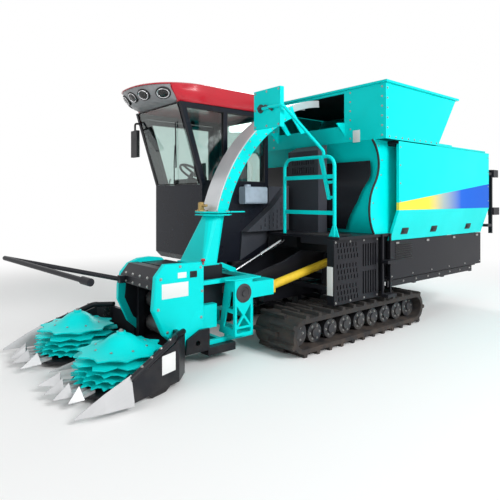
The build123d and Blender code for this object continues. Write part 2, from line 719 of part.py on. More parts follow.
# A hinge bracket stands at each end of a cover, with a stub pin into the cover's end.
COVER_ENDS = (
    # pin's root, pin's tip, bracket's far side, frame's end
    (COVER_X[1] + SEAT_GAP, COVER_X[1] - HINGE_REACH, COVER_X[1] + HINGE_EAR, FRAME_X[1]),
    (COVER_X[0] - SEAT_GAP, COVER_X[0] + HINGE_REACH, COVER_X[0] - HINGE_EAR, FRAME_X[0]),
)
with BuildPart() as box_frame:
    for hand in (1, -1):
        sill = (hand * (SILL_Y - POST), hand * SILL_Y)
        top = (hand * TOP_RAIL_Y[0], hand * TOP_RAIL_Y[1])
        block(FRAME_X, sill, (RAIL_HIGH, RAIL_HIGH + POST))
        block((FRAME_X[1] - POST, FRAME_X[1]), sill, (RAIL_HIGH, BIN_FLOOR_Z - BIN_FLOOR_THICK))
        block((FRAME_X[0], FRAME_X[0] + POST), sill, (RAIL_HIGH, BOX_TOP_Z))
        block(FRAME_X, top, (BOX_TOP_Z - POST, BOX_TOP_Z))
        block((FRAME_X[0], FRAME_X[0] + POST), (sill[0], top[1]), (BOX_TOP_Z - POST, BOX_TOP_Z))
        for root, tip, far, end in COVER_ENDS:
            for pin, rail in ((UPPER_PIN, top), (LOWER_PIN, sill)):
                ear_y = (rail[0], hand * (pin[0] + HINGE_R + 2))
                ear_z = (pin[1] - HINGE_R - 4, pin[1] + HINGE_R + 4)
                block((root, far), ear_y, ear_z)
                block((end, far), (rail[0], rail[1]), ear_z)
                rod((far, hand * pin[0], pin[1]), (tip, hand * pin[0], pin[1]), HINGE_R)
    block((FRAME_X[0], FRAME_X[0] + POST), (-SILL_Y, SILL_Y), (RAIL_HIGH, RAIL_HIGH + POST))
pieces["box_frame"] = box_frame.part

ROOF_SHEET = 22
ROOF_RISE = 70
ROOF_INSET = 55
PANEL_X = (FRAME_X[0] - REAR_PANEL_THICK, FRAME_X[0])
GATE_ROOF_X = GATE_PIN[0] + 75
GATE_LUG = 30
with BuildPart() as box_panels:
    roof_y = BOX_Y - ROOF_INSET
    block((GATE_ROOF_X, BIN_REAR_X - 20), (-roof_y, roof_y), (BOX_TOP_Z, BOX_TOP_Z + ROOF_SHEET))
    block((GATE_ROOF_X + 40, BIN_REAR_X - 260), (-960, 960), (BOX_TOP_Z, BOX_TOP_Z + ROOF_RISE))
    for hand in (1, -1):
        inner = hand * (CHAMBER_HALF + 12)
        block((BOX_REAR_X, GATE_ROOF_X), (inner, hand * roof_y), (BOX_TOP_Z, BOX_TOP_Z + ROOF_SHEET))
        block(PANEL_X, (inner, hand * SILL_Y), (RAIL_HIGH + POST, BOX_TOP_Z))
        block(
            (GATE_PIN[0] - GATE_LUG, GATE_PIN[0] + GATE_LUG),
            (inner, inner + hand * GATE_LUG),
            (GATE_PIN[1] - GATE_LUG, BOX_TOP_Z),
        )
        drum(GATE_PIN, HINGE_R + 4, (hand * (CHAMBER_HALF - CHAMBER_WALL), inner))
pieces["box_panels"] = box_panels.part

with BuildPart() as bale_chamber:
    for y in (CHAMBER_HALF, -CHAMBER_HALF + CHAMBER_WALL):
        block((CHAMBER_X + 10, CHAMBER_FRONT_X), (y - CHAMBER_WALL, y), (RAIL_HIGH, BOX_TOP_Z))
    sector(
        (CHAMBER_X, CHAMBER_Z),
        (CHAMBER_R, CHAMBER_R + CHAMBER_WALL),
        (-90, 10),
        side(CHAMBER_HALF - CHAMBER_WALL),
        2 * (CHAMBER_HALF - CHAMBER_WALL),
    )
pieces["bale_chamber"] = bale_chamber.part

COVER_SLOPE = (KINK_Z - COVER_FOOT_Z) / hypot(BOX_Y - COVER_FOOT_Y, KINK_Z - COVER_FOOT_Z)
COVER_IN = COVER_THICK / COVER_SLOPE
for hand, name in ((1, "left"), (-1, "right")):
    with BuildPart() as upper_cover:
        prism(
            across(COVER_X[0]),
            (
                (hand * BOX_Y, COVER_TOP_Z),
                (hand * BOX_Y, KINK_Z),
                (hand * COVER_FOOT_Y, COVER_FOOT_Z),
                (hand * (COVER_FOOT_Y - COVER_IN), COVER_FOOT_Z),
                (hand * (BOX_Y - COVER_THICK), KINK_Z),
                (hand * (BOX_Y - COVER_THICK), COVER_TOP_Z),
            ),
            COVER_X[1] - COVER_X[0],
        )
        for root, tip, far, end in COVER_ENDS:
            bore = ((root, hand * UPPER_PIN[0], UPPER_PIN[1]), (2 * tip - root, hand * UPPER_PIN[0], UPPER_PIN[1]))
            rod(*bore, HINGE_R + RUN_GAP, Mode.SUBTRACT)
    pieces[f"upper_cover_{name}"] = upper_cover.part
    with BuildPart() as lower_cover:
        block(
            COVER_X,
            (hand * (COVER_FOOT_Y - COVER_THICK), hand * COVER_FOOT_Y),
            (LOWER_COVER_LOW, COVER_FOOT_Z - SWING_GAP),
        )
        for root, tip, far, end in COVER_ENDS:
            bore = ((root, hand * LOWER_PIN[0], LOWER_PIN[1]), (2 * tip - root, hand * LOWER_PIN[0], LOWER_PIN[1]))
            rod(*bore, HINGE_R + RUN_GAP, Mode.SUBTRACT)
    pieces[f"lower_cover_{name}"] = lower_cover.part

with BuildPart() as skirts:
    for hand in (1, -1):
        block(
            (SKIRT_REAR_X, BOX_FRONT_X - 5),
            (hand * SILL_Y, hand * (SILL_Y + SKIRT_THICK)),
            (SKIRT_LOW, LOWER_COVER_LOW - 2 * SWING_GAP),
        )
pieces["skirts"] = skirts.part

GATE_HALF = CHAMBER_HALF
GATE_REAR_X = BOX_REAR_X + 5
GATE_TOP_Z = BOX_TOP_Z - 8
GATE_FRONT_X = CHAMBER_X - SWING_GAP
with BuildPart() as tailgate:
    gate = (
        (GATE_FRONT_X, GATE_BOTTOM_Z),
        (GATE_REAR_X + 380, GATE_BOTTOM_Z + 40),
        (GATE_REAR_X, 1120),
        (GATE_REAR_X, GATE_TOP_Z - 160),
        (GATE_REAR_X + 120, GATE_TOP_Z),
        (GATE_FRONT_X, GATE_TOP_Z),
    )
    prism(side(GATE_HALF), gate, 2 * GATE_HALF)
    hollow = (
        (GATE_FRONT_X, GATE_BOTTOM_Z + CHAMBER_WALL),
        (GATE_REAR_X + 375, GATE_BOTTOM_Z + 40 + CHAMBER_WALL),
        (GATE_REAR_X + CHAMBER_WALL, 1120 + 5),
        (GATE_REAR_X + CHAMBER_WALL, GATE_TOP_Z - 165),
        (GATE_REAR_X + 125, GATE_TOP_Z - CHAMBER_WALL),
        (GATE_FRONT_X, GATE_TOP_Z - CHAMBER_WALL),
    )
    prism(side(GATE_HALF - CHAMBER_WALL), hollow, 2 * (GATE_HALF - CHAMBER_WALL), Mode.SUBTRACT)
    drum(GATE_PIN, HINGE_R + 4 + RUN_GAP, (-GATE_HALF, GATE_HALF), Mode.SUBTRACT)
pieces["tailgate"] = tailgate.part

STAND_BAR = 40
STAND_ARM_Y = (900, 960)
STAND_POST_Y = (1060, 1110)
STAND_POST = 30
STAND_Z = (1020, 1960)
STAND_ARMS = (1120, 1880)
LAMP_BOX_Y = (1042, 1128)
LAMP_BOXES = (
    # foot z, height, rear x
    (1290, 110, LAMP_REAR_X),
    (1850, 110, LAMP_REAR_X + 40),
)
with BuildPart() as lamp_stands:
    for hand in (1, -1):
        arm = (hand * STAND_ARM_Y[0], hand * STAND_ARM_Y[1])
        post = (hand * STAND_POST_Y[0], hand * STAND_POST_Y[1])
        block((STAND_X - STAND_POST, STAND_X), post, STAND_Z)
        for z in STAND_ARMS:
            bar = (z, z + STAND_BAR)
            block((STAND_BEND_X, PANEL_X[0]), arm, bar)
            block((STAND_BEND_X, STAND_BEND_X + STAND_BAR), (arm[0], post[1]), bar)
            block((STAND_X, STAND_BEND_X + STAND_BAR), post, bar)
        for z, height, rear in LAMP_BOXES:
            block((rear, STAND_X - STAND_POST), (hand * LAMP_BOX_Y[0], hand * LAMP_BOX_Y[1]), (z, z + height))
pieces["lamp_stands"] = lamp_stands.part

# Cab: base, four walls with window openings, panes, door, roof and visor
CAB_SIDE = (
    (CAB_REAR_X, DECK_Z),
    (CAB_FRONT_X, DECK_Z),
    (CAB_FRONT_X, WAIST_Z),
    (SCREEN_TOP_X, EAVES_Z),
    (CAB_REAR_X, EAVES_Z),
)
RAKE = (SCREEN_TOP_X - CAB_FRONT_X) / (EAVES_Z - WAIST_Z)
SILL_Z = WAIST_Z + 40
HEAD_Z = EAVES_Z - PILLAR


def pillar_x(z):
    """Inner edge of the raked front pillar at height z."""
    return CAB_FRONT_X + RAKE * (z - WAIST_Z) - PILLAR


LEFT_PANES = (
    (
        (MIDDLE_PILLAR_X + PILLAR, SILL_Z),
        (pillar_x(SILL_Z), SILL_Z),
        (pillar_x(HEAD_Z), HEAD_Z),
        (MIDDLE_PILLAR_X + PILLAR, HEAD_Z),
    ),
    (
        (CAB_REAR_X + PILLAR, SILL_Z),
        (MIDDLE_PILLAR_X, SILL_Z),
        (MIDDLE_PILLAR_X, HEAD_Z),
        (CAB_REAR_X + PILLAR, HEAD_Z),
    ),
)
DOORWAY_FOOT = DECK_Z + 35


def doorway(inset):
    """Outline of the doorway, drawn in by inset on every side."""
    return (
        (DOOR_REAR_X + inset, DOORWAY_FOOT + inset),
        (CAB_FRONT_X - PILLAR - CAB_WALL - inset, DOORWAY_FOOT + inset),
        (CAB_FRONT_X - PILLAR - CAB_WALL - inset, WAIST_Z),
        (pillar_x(HEAD_Z - inset) - CAB_WALL - inset, HEAD_Z - inset),
        (DOOR_REAR_X + inset, HEAD_Z - inset),
    )


with BuildPart() as cab_base:
    block((CAB_REAR_X, CAB_FRONT_X), (CAB_RIGHT_Y, CAB_LEFT_Y), (CAB_BASE_Z, DECK_Z))
    chamfer(cab_base.edges().filter_by(Axis.Y).sort_by(Axis.Z)[:2].sort_by(Axis.X)[-1], 70)
pieces["cab_base"] = cab_base.part

with BuildPart() as cab_left:
    prism(side(CAB_LEFT_Y), CAB_SIDE, CAB_WALL)
    for pane in LEFT_PANES:
        prism(side(CAB_LEFT_Y), pane, CAB_WALL, Mode.SUBTRACT)
pieces["cab_left"] = cab_left.part

DOOR_PIN_X = DOOR_REAR_X + 4
DOOR_PIN_Y = CAB_RIGHT_Y - 14
DOOR_PIN_R = 7
KNUCKLE_R = 14
KNUCKLE_ZS = ((1380, 1450), (2210, 2280))
KNUCKLE_CAP = 18
with BuildPart() as cab_right:
    prism(side(CAB_RIGHT_Y + CAB_WALL), CAB_SIDE, CAB_WALL)
    prism(side(CAB_RIGHT_Y + CAB_WALL), doorway(0), CAB_WALL, Mode.SUBTRACT)
    for low, high in KNUCKLE_ZS:
        rod((DOOR_PIN_X, DOOR_PIN_Y, low - KNUCKLE_CAP), (DOOR_PIN_X, DOOR_PIN_Y, high + KNUCKLE_CAP), DOOR_PIN_R)
        for cap in ((low - KNUCKLE_CAP, low - SEAT_GAP), (high + SEAT_GAP, high + KNUCKLE_CAP)):
            rod((DOOR_PIN_X, DOOR_PIN_Y, cap[0]), (DOOR_PIN_X, DOOR_PIN_Y, cap[1]), KNUCKLE_R)
            block((DOOR_REAR_X - 40, DOOR_PIN_X), (DOOR_PIN_Y - 6, CAB_RIGHT_Y), cap)
pieces["cab_right"] = cab_right.part

CAB_INNER_Y = (CAB_RIGHT_Y + CAB_WALL, CAB_LEFT_Y - CAB_WALL)
with BuildPart() as cab_front:
    block((CAB_FRONT_X - CAB_WALL, CAB_FRONT_X), CAB_INNER_Y, (DECK_Z, WAIST_Z))
pieces["cab_front"] = cab_front.part

REAR_PANE_Y = (CAB_INNER_Y[0] + PILLAR, CAB_INNER_Y[1] - PILLAR)
with BuildPart() as cab_rear:
    block((CAB_REAR_X, CAB_REAR_X + CAB_WALL), CAB_INNER_Y, (DECK_Z, EAVES_Z))
    block((CAB_REAR_X, CAB_REAR_X + CAB_WALL), REAR_PANE_Y, (SILL_Z, HEAD_Z), Mode.SUBTRACT)
pieces["cab_rear"] = cab_rear.part

with BuildPart() as cab_panes:
    prism(
        side(CAB_INNER_Y[1]),
        (
            (CAB_FRONT_X, WAIST_Z),
            (SCREEN_TOP_X, EAVES_Z),
            (SCREEN_TOP_X - GLASS, EAVES_Z),
            (CAB_FRONT_X - GLASS, WAIST_Z),
        ),
        CAB_INNER_Y[1] - CAB_INNER_Y[0],
    )
    for pane in LEFT_PANES:
        prism(side(CAB_LEFT_Y - PANE_INSET), pane, GLASS)
    block((CAB_REAR_X + PANE_INSET, CAB_REAR_X + PANE_INSET + GLASS), REAR_PANE_Y, (SILL_Z, HEAD_Z))
pieces["cab_panes"] = cab_panes.part

DOOR_THICK = 45
with BuildPart() as cab_door:
    prism(side(CAB_RIGHT_Y + DOOR_THICK), doorway(SWING_GAP), DOOR_THICK)
    prism(side(CAB_RIGHT_Y + DOOR_THICK), doorway(SWING_GAP + PILLAR), DOOR_THICK, Mode.SUBTRACT)
    for low, high in KNUCKLE_ZS:
        rod((DOOR_PIN_X, DOOR_PIN_Y, low), (DOOR_PIN_X, DOOR_PIN_Y, high), KNUCKLE_R)
        block((DOOR_PIN_X, DOOR_PIN_X + 55), (DOOR_PIN_Y - 6, CAB_RIGHT_Y), (low, high))
        rod((DOOR_PIN_X, DOOR_PIN_Y, low), (DOOR_PIN_X, DOOR_PIN_Y, high), DOOR_PIN_R + RUN_GAP, Mode.SUBTRACT)
pieces["cab_door"] = cab_door.part

with BuildPart() as door_pane:
    prism(side(CAB_RIGHT_Y + 25), doorway(SWING_GAP + PILLAR), GLASS)
pieces["door_pane"] = door_pane.part

ROOF_Y = (CAB_RIGHT_Y - ROOF_OVERHANG, CAB_LEFT_Y + ROOF_OVERHANG)
ROOF_CORNER = 180
ROOF_REAR_CORNER = 60


def roof_plan():
    """Rounds the roof's corners, seen from above."""
    rear = CAB_REAR_X - ROOF_OVERHANG
    with BuildSketch(level(CAB_BASE_Z)) as plan:
        with Locations(((rear + ROOF_FRONT_X) / 2, sum(ROOF_Y) / 2)):
            Rectangle(ROOF_FRONT_X - rear, ROOF_Y[1] - ROOF_Y[0])
        fillet(plan.vertices().group_by(Axis.X)[-1], ROOF_CORNER)
        fillet(plan.vertices().group_by(Axis.X)[0], ROOF_REAR_CORNER)
    extrude(plan.sketch, amount=ROOF_TOP_Z, mode=Mode.INTERSECT)


with BuildPart() as cab_roof:
    prism(
        side(ROOF_Y[1]),
        (
            (CAB_REAR_X - ROOF_OVERHANG, EAVES_Z),
            (VISOR_X, EAVES_Z),
            (VISOR_X + 60, EAVES_Z + 125),
            (ROOF_FRONT_X, EAVES_Z + 140),
            (ROOF_FRONT_X - 40, ROOF_TOP_Z - 30),
            (CAB_FRONT_X, ROOF_TOP_Z),
            (CAB_REAR_X, ROOF_TOP_Z - 15),
            (CAB_REAR_X - ROOF_OVERHANG, ROOF_TOP_Z - 60),
        ),
        ROOF_Y[1] - ROOF_Y[0],
    )
    roof_plan()
pieces["cab_roof"] = cab_roof.part

VISOR_LIP = (ROOF_FRONT_X - 70, EAVES_Z + 15)
VISOR_BROW = (ROOF_FRONT_X - 15, EAVES_Z + 139)
with BuildPart() as visor:
    prism(
        side(ROOF_Y[1]),
        ((VISOR_X, EAVES_Z), VISOR_LIP, VISOR_BROW, (VISOR_X + 60, EAVES_Z + 125)),
        ROOF_Y[1] - ROOF_Y[0],
    )
    roof_plan()
pieces["visor"] = visor.part

LAMP_DEPTH = 22
LAMP_FACE = Vector(VISOR_BROW[1] - VISOR_LIP[1], 0, VISOR_LIP[0] - VISOR_BROW[0]).normalized()
with BuildPart() as work_lamps:
    for n in (-1.5, -0.5, 0.5, 1.5):
        seat = Vector(
            (VISOR_LIP[0] + VISOR_BROW[0]) / 2,
            sum(ROOF_Y) / 2 + n * LAMP_PITCH,
            (VISOR_LIP[1] + VISOR_BROW[1]) / 2,
        )
        rod(tuple(seat), tuple(seat + LAMP_FACE * LAMP_DEPTH), LAMP_R)
pieces["work_lamps"] = work_lamps.part

MIRROR_X = 1670
MIRROR_ARM_Y = CAB_RIGHT_Y + 20
with BuildPart() as mirror_right:
    block((MIRROR_X - 20, MIRROR_X + 20), (CAB_RIGHT_Y - 50, CAB_RIGHT_Y + 100), (2030, 2350))
    tube(
        (
            (MIRROR_X, MIRROR_ARM_Y, 2350),
            (MIRROR_X, MIRROR_ARM_Y, 2440),
            (MIRROR_X - 90, MIRROR_ARM_Y, 2440),
        ),
        12,
        25,
    )
    add(cab_right.part, mode=Mode.SUBTRACT)
pieces["mirror_right"] = mirror_right.part

SEAT_Y = (-860, -380)
CUSHION_Z = (1500, 1600)
SEAT_BACK_X = (470, 540)
with BuildPart() as seat_pads:
    block((SEAT_BACK_X[1] + 5, 1000), SEAT_Y, CUSHION_Z)
    block(SEAT_BACK_X, SEAT_Y, (CUSHION_Z[0], 2150))
pieces["seat_pads"] = seat_pads.part

WHEEL_CENTRE = (1150, -620, 1840)
WHEEL_TILT = (-60, 0, 90)
with BuildPart() as cab_fittings:
    block((SEAT_BACK_X[0], 920), (SEAT_Y[0] + 60, SEAT_Y[1] - 60), (DECK_Z, CUSHION_Z[0]))
    block((1180, CAB_FRONT_X - CAB_WALL), (-760, -480), (DECK_Z, 1760))
    rod((1210, -620, 1750), WHEEL_CENTRE, 25)
    with Locations(Plane(origin=WHEEL_CENTRE, z_dir=WHEEL_TILT)):
        Torus(170, 14)
        Box(330, 36, 14)
pieces["cab_fittings"] = cab_fittings.part

# Header: pan with walls and rail, points, skids and two rotors
HEADER_LEFT = HEADER_Y + HEADER_HALF
HEADER_RIGHT = HEADER_Y - HEADER_HALF
PAN_TOP = PAN_Z + PAN_THICK
ROTOR_YS = {"left": HEADER_Y + ROTOR_OFFSET, "right": HEADER_Y - ROTOR_OFFSET}
RAIL_LIFT = RAIL_R - 6
SKID_WIDTH = 70
SKID_INSET = 20
BACK_BEND_X = 2150
BACK_BEND = 695
BACK_WALLS = []
for hand, end_y in (
    (1, CHOPPER_Y[1] + CHOPPER_COVER + SEAT_GAP),
    (-1, CHOPPER_Y[0] - CHOPPER_COVER - SEAT_GAP),
):
    BACK_WALLS.append(
        (
            (HEADER_REAR_X + HEADER_WALL, HEADER_Y + hand * HEADER_HALF),
            (BACK_BEND_X, HEADER_Y + hand * BACK_BEND),
            (THROAT_X[1], end_y),
        )
    )


def behind(points):
    """The outer face of a back wall, from its inner face."""
    return tuple((x - HEADER_WALL, y) for x, y in points)


with BuildPart() as header_pan:
    with BuildSketch(level(PAN_Z)):
        for y in ROTOR_YS.values():
            with Locations((ROTOR_X, y)):
                Circle(PAN_R)
        Polygon(
            (ROTOR_X, HEADER_LEFT),
            *behind(BACK_WALLS[0]),
            *reversed(behind(BACK_WALLS[1])),
            (ROTOR_X, HEADER_RIGHT),
            align=None,
        )
    extrude(amount=PAN_THICK)
    for y in ROTOR_YS.values():
        with Locations((ROTOR_X, y, PAN_TOP)):
            Cylinder(SPINDLE_R, SPINDLE_TOP - PAN_TOP, align=(Align.CENTER, Align.CENTER, Align.MIN))
    for y in (HEADER_LEFT, HEADER_RIGHT + HEADER_WALL):
        prism(
            side(y),
            (
                (HEADER_REAR_X, PAN_Z),
                (WALL_FRONT_X, PAN_Z),
                (WALL_FRONT_X, WALL_FRONT_Z),
                (HEADER_REAR_X, WALL_REAR_Z),
            ),
            HEADER_WALL,
        )
    for wall in BACK_WALLS:
        prism(level(PAN_Z), (*wall, *reversed(behind(wall))), WALL_REAR_Z - PAN_Z)
        corner, bend, end = wall
        inward = -HEADER_WALL / 2 if corner[1] > HEADER_Y else HEADER_WALL / 2
        tube(
            (
                (WALL_FRONT_X, corner[1] + inward, WALL_FRONT_Z + RAIL_LIFT),
                (corner[0], corner[1] + inward, WALL_REAR_Z + RAIL_LIFT),
                (bend[0] - HEADER_WALL / 2, bend[1], WALL_REAR_Z + RAIL_LIFT),
            ),
            RAIL_R,
            70,
        )
    for y in (HEADER_LEFT - SKID_INSET - SKID_WIDTH, HEADER_RIGHT + SKID_INSET):
        prism(side(y + SKID_WIDTH), ((2330, PAN_Z), (2390, 0), (2540, 0), (2590, PAN_Z)), SKID_WIDTH)
pieces["header_pan"] = header_pan.part

POINTS = (
    # offset from the header's middle, tip x
    (732, 3115),
    (600, 3177),
    (447, TIP_X),
    (243, 3180),
)
POINT_REACH = ROTOR_R + 14
TONGUE_REACH = (330, 490)
TONGUE_WIDTH = 60
TONGUE_THICK = 22


def point(tip, root, widths, heights, z):
    """A ridged point from root to tip, its foot level at z."""
    run = Vector(*tip) - Vector(*root)
    for_section = ((0, widths[0], heights[0]), (0.5, widths[1], heights[1]), (1, widths[2], heights[2]))
    faces = []
    for share, width, height in for_section:
        at = Vector(*root) + run * share
        plane = Plane(origin=(at.X, at.Y, z), x_dir=(-run.Y, run.X, 0), z_dir=(run.X, run.Y, 0))
        with BuildSketch(plane) as section:
            Polygon((-width / 2, 0), (width / 2, 0), (0, height), align=None)
        faces.append(section.sketch)
    loft(faces, ruled=True)


with BuildPart() as divider_points:
    for hand in (1, -1):
        rotor_y = HEADER_Y + hand * ROTOR_OFFSET
        for offset, tip_x in POINTS:
            tip = (tip_x, HEADER_Y + hand * offset)
            away = Vector(tip[0] - ROTOR_X, tip[1] - rotor_y).normalized()
            root = (ROTOR_X + away.X * POINT_REACH, rotor_y + away.Y * POINT_REACH)
            point(tip, root, (116, 66, 8), (96, 50, 8), PAN_TOP)
            tongue = Plane(origin=(ROTOR_X, rotor_y, PAN_TOP), x_dir=(away.X, away.Y, 0), z_dir=(0, 0, 1))
            with BuildSketch(tongue) as foot:
                with Locations((sum(TONGUE_REACH) / 2, 0)):
                    Rectangle(TONGUE_REACH[1] - TONGUE_REACH[0], TONGUE_WIDTH)
            extrude(foot.sketch, amount=TONGUE_THICK)
        outer_y = HEADER_Y + hand * (HEADER_HALF - HEADER_WALL / 2)
        point((3158, outer_y), (WALL_FRONT_X, outer_y), (120, 90, 10), (210, 120, 12), PAN_Z)
    point((3020, HEADER_Y), (2540, HEADER_Y), (50, 60, 8), (26, 60, 8), PAN_TOP)
pieces["divider_points"] = divider_points.part

LAYERS = (
    # height, thickness, radius, count, depth, root half, tip half, lean
    (100, 8, ROTOR_R, 24, 60, 38, 5, 14),
    (146, 8, 446, 20, 60, 44, 5, 14),
    (192, 8, 440, 16, 65, 52, 6, 14),
    (238, 10, 430, 9, 90, 116, 62, 0),
    (290, 12, 400, 10, 70, 98, 10, 0),
)
TOOTH_BURY = 12
ROTOR_DRUM_R = 255
BRIM_R = 345
BRIM_Z = (290, 302)
DOME_TURN = (150, 372)
BOSS_R = 42
BOSS_Z = (424, 440)
for name, y in ROTOR_YS.items():
    with BuildPart() as rotor:
        with BuildSketch(side(y)):
            with BuildLine():
                Polyline(
                    (ROTOR_X + BOSS_R, BOSS_Z[0]),
                    (ROTOR_X + BOSS_R, BOSS_Z[1]),
                    (ROTOR_X, BOSS_Z[1]),
                    (ROTOR_X, SPINDLE_TOP + SEAT_GAP),
                    (ROTOR_X + ROTOR_DRUM_R, SPINDLE_TOP + SEAT_GAP),
                    (ROTOR_X + ROTOR_DRUM_R, BRIM_Z[0]),
                    (ROTOR_X + BRIM_R, BRIM_Z[0]),
                    (ROTOR_X + BRIM_R, BRIM_Z[1]),
                )
                ThreePointArc(
                    (ROTOR_X + BRIM_R, BRIM_Z[1]),
                    (ROTOR_X + 245, 324),
                    (ROTOR_X + DOME_TURN[0], DOME_TURN[1]),
                )
                ThreePointArc(
                    (ROTOR_X + DOME_TURN[0], DOME_TURN[1]),
                    (ROTOR_X + 98, 406),
                    (ROTOR_X + BOSS_R, BOSS_Z[0]),
                )
            make_face()
        revolve(axis=Axis((ROTOR_X, y, 0), (0, 0, 1)))
        for z, thick, radius, count, depth, root_half, tip_half, lean in LAYERS:
            root = radius - depth
            reach = depth + TOOTH_BURY
            with BuildSketch(level(z)):
                with Locations((ROTOR_X, y)):
                    Circle(root)
                    with PolarLocations(root - TOOTH_BURY, count):
                        Polygon(
                            (0, -root_half),
                            (reach, lean - tip_half),
                            (reach, lean + tip_half),
                            (0, root_half),
                            align=None,
                        )
            extrude(amount=thick)
    pieces[f"rotor_{name}"] = rotor.part

# Throat, feed rolls, chopper and its covers
THROAT_TOP = 850
THROAT_FRAME = 50
HOOD_LOW = 730
HOOD_FRONT_X = 2300
HOOD_SHEET = 16
HOOD = (
    (THROAT_X[1] - HOOD_SHEET, 905),
    (2215, 905),
    (HOOD_FRONT_X, 800),
    (HOOD_FRONT_X, HOOD_LOW),
    (THROAT_X[1] - HOOD_SHEET, HOOD_LOW),
)
HOOD_INSIDE = (
    (THROAT_X[1], 889),
    (2207, 889),
    (HOOD_FRONT_X - HOOD_SHEET, 794),
    (HOOD_FRONT_X - HOOD_SHEET, HOOD_LOW),
    (THROAT_X[1], HOOD_LOW),
)
with BuildPart() as throat:
    block(THROAT_X, CHOPPER_Y, (PAN_TOP, THROAT_TOP))
    block(
        THROAT_X,
        (CHOPPER_Y[0] + THROAT_FRAME, CHOPPER_Y[1] - THROAT_FRAME),
        (CHOPPER_Z[0] + CHOPPER_WALL, 720),
        Mode.SUBTRACT,
    )
    prism(side(CHOPPER_Y[1]), HOOD, CHOPPER_Y[1] - CHOPPER_Y[0])
    prism(side(CHOPPER_Y[1] - HOOD_SHEET), HOOD_INSIDE, CHOPPER_Y[1] - CHOPPER_Y[0] - 2 * HOOD_SHEET, Mode.SUBTRACT)
pieces["throat"] = throat.part

BLOWER_INSIDE_Y = (BLOWER_Y[0] + CHOPPER_WALL, BLOWER_Y[1] - CHOPPER_WALL)
with BuildPart() as chopper_housing:
    block(CHOPPER_X, CHOPPER_Y, CHOPPER_Z)
    block((BLOWER_X, CHOPPER_X[0] + CHOPPER_WALL), BLOWER_Y, BLOWER_Z)
    block(
        (CHOPPER_X[0] + CHOPPER_WALL, CHOPPER_X[1]),
        (CHOPPER_Y[0] + CHOPPER_WALL, CHOPPER_Y[1] - CHOPPER_WALL),
        (CHOPPER_Z[0] + CHOPPER_WALL, CHOPPER_Z[1] - CHOPPER_WALL),
        Mode.SUBTRACT,
    )
    block(
        (BLOWER_X + CHOPPER_WALL, CHOPPER_X[0] + CHOPPER_WALL),
        BLOWER_INSIDE_Y,
        (BLOWER_Z[0] + CHOPPER_WALL, BLOWER_Z[1] - CHOPPER_WALL),
        Mode.SUBTRACT,
    )
    block(
        (DUCT_FOOT_X[0] + DUCT_SHEET, DUCT_FOOT_X[1] - DUCT_SHEET),
        BLOWER_INSIDE_Y,
        (BLOWER_Z[1] - CHOPPER_WALL, BLOWER_Z[1]),
        Mode.SUBTRACT,
    )
pieces["chopper_housing"] = chopper_housing.part

for name, z in (("lower", 290), ("upper", 530)):
    with BuildPart() as feed_roll:
        drum((ROLL_X, z), ROLL_R, (CHOPPER_Y[0] + CHOPPER_WALL + SWING_GAP, CHOPPER_Y[1] - CHOPPER_WALL - SWING_GAP))
        drum((ROLL_X, z), 30, (CHOPPER_Y[0] + CHOPPER_WALL + SEAT_GAP, CHOPPER_Y[1] - CHOPPER_WALL - SEAT_GAP))
    pieces[f"feed_roll_{name}"] = feed_roll.part

CHOPPER_OUTLINE = (
    (1800, 900),
    (1830, 945),
    (2210, 955),
    (2300, 850),
    (2325, 560),
    (2220, 330),
    (2040, 165),
    (1950, 165),
    (1800, 420),
)
RIGHT_TOP = ((1800, 880), (1850, 925), (1980, 945), (2110, 938), (2215, 900), (2290, 820), (2322, 700))
with BuildPart() as chopper_covers:
    prism(side(CHOPPER_Y[1] + CHOPPER_COVER), CHOPPER_OUTLINE, CHOPPER_COVER)
    prism(side(CHOPPER_Y[0]), RIGHT_TOP + CHOPPER_OUTLINE[4:], CHOPPER_COVER)
    for outside in (chopper_covers.faces().sort_by(Axis.Y)[0], chopper_covers.faces().sort_by(Axis.Y)[-1]):
        chamfer(outside.edges(), COVER_BEVEL)
pieces["chopper_covers"] = chopper_covers.part

# Discharge duct with its flange, and the swan-neck spout
FLANGE_FOOT = FLANGE_Z - 2 * FLANGE_THICK - SLEW_THICK
SPOUT_MIDDLE_Y = sum(SPOUT_Y) / 2
CORNER_STEPS = 4
SLEW_LEVER = ((1300, 300), (1130, 335), (1125, 295), (1270, 215))


def rounded(centre, halves, corner):
    """Points round a rectangle with rounded corners; a circle where the corners meet."""
    points = []
    for quarter, (right, up) in enumerate(((1, 1), (-1, 1), (-1, -1), (1, -1))):
        for step in range(CORNER_STEPS):
            turn = radians(90 * (quarter + (step + 0.5) / CORNER_STEPS))
            points.append(
                (
                    centre[0] + right * (halves[0] - corner) + corner * cos(turn),
                    centre[1] + up * (halves[1] - corner) + corner * sin(turn),
                )
            )
    return points


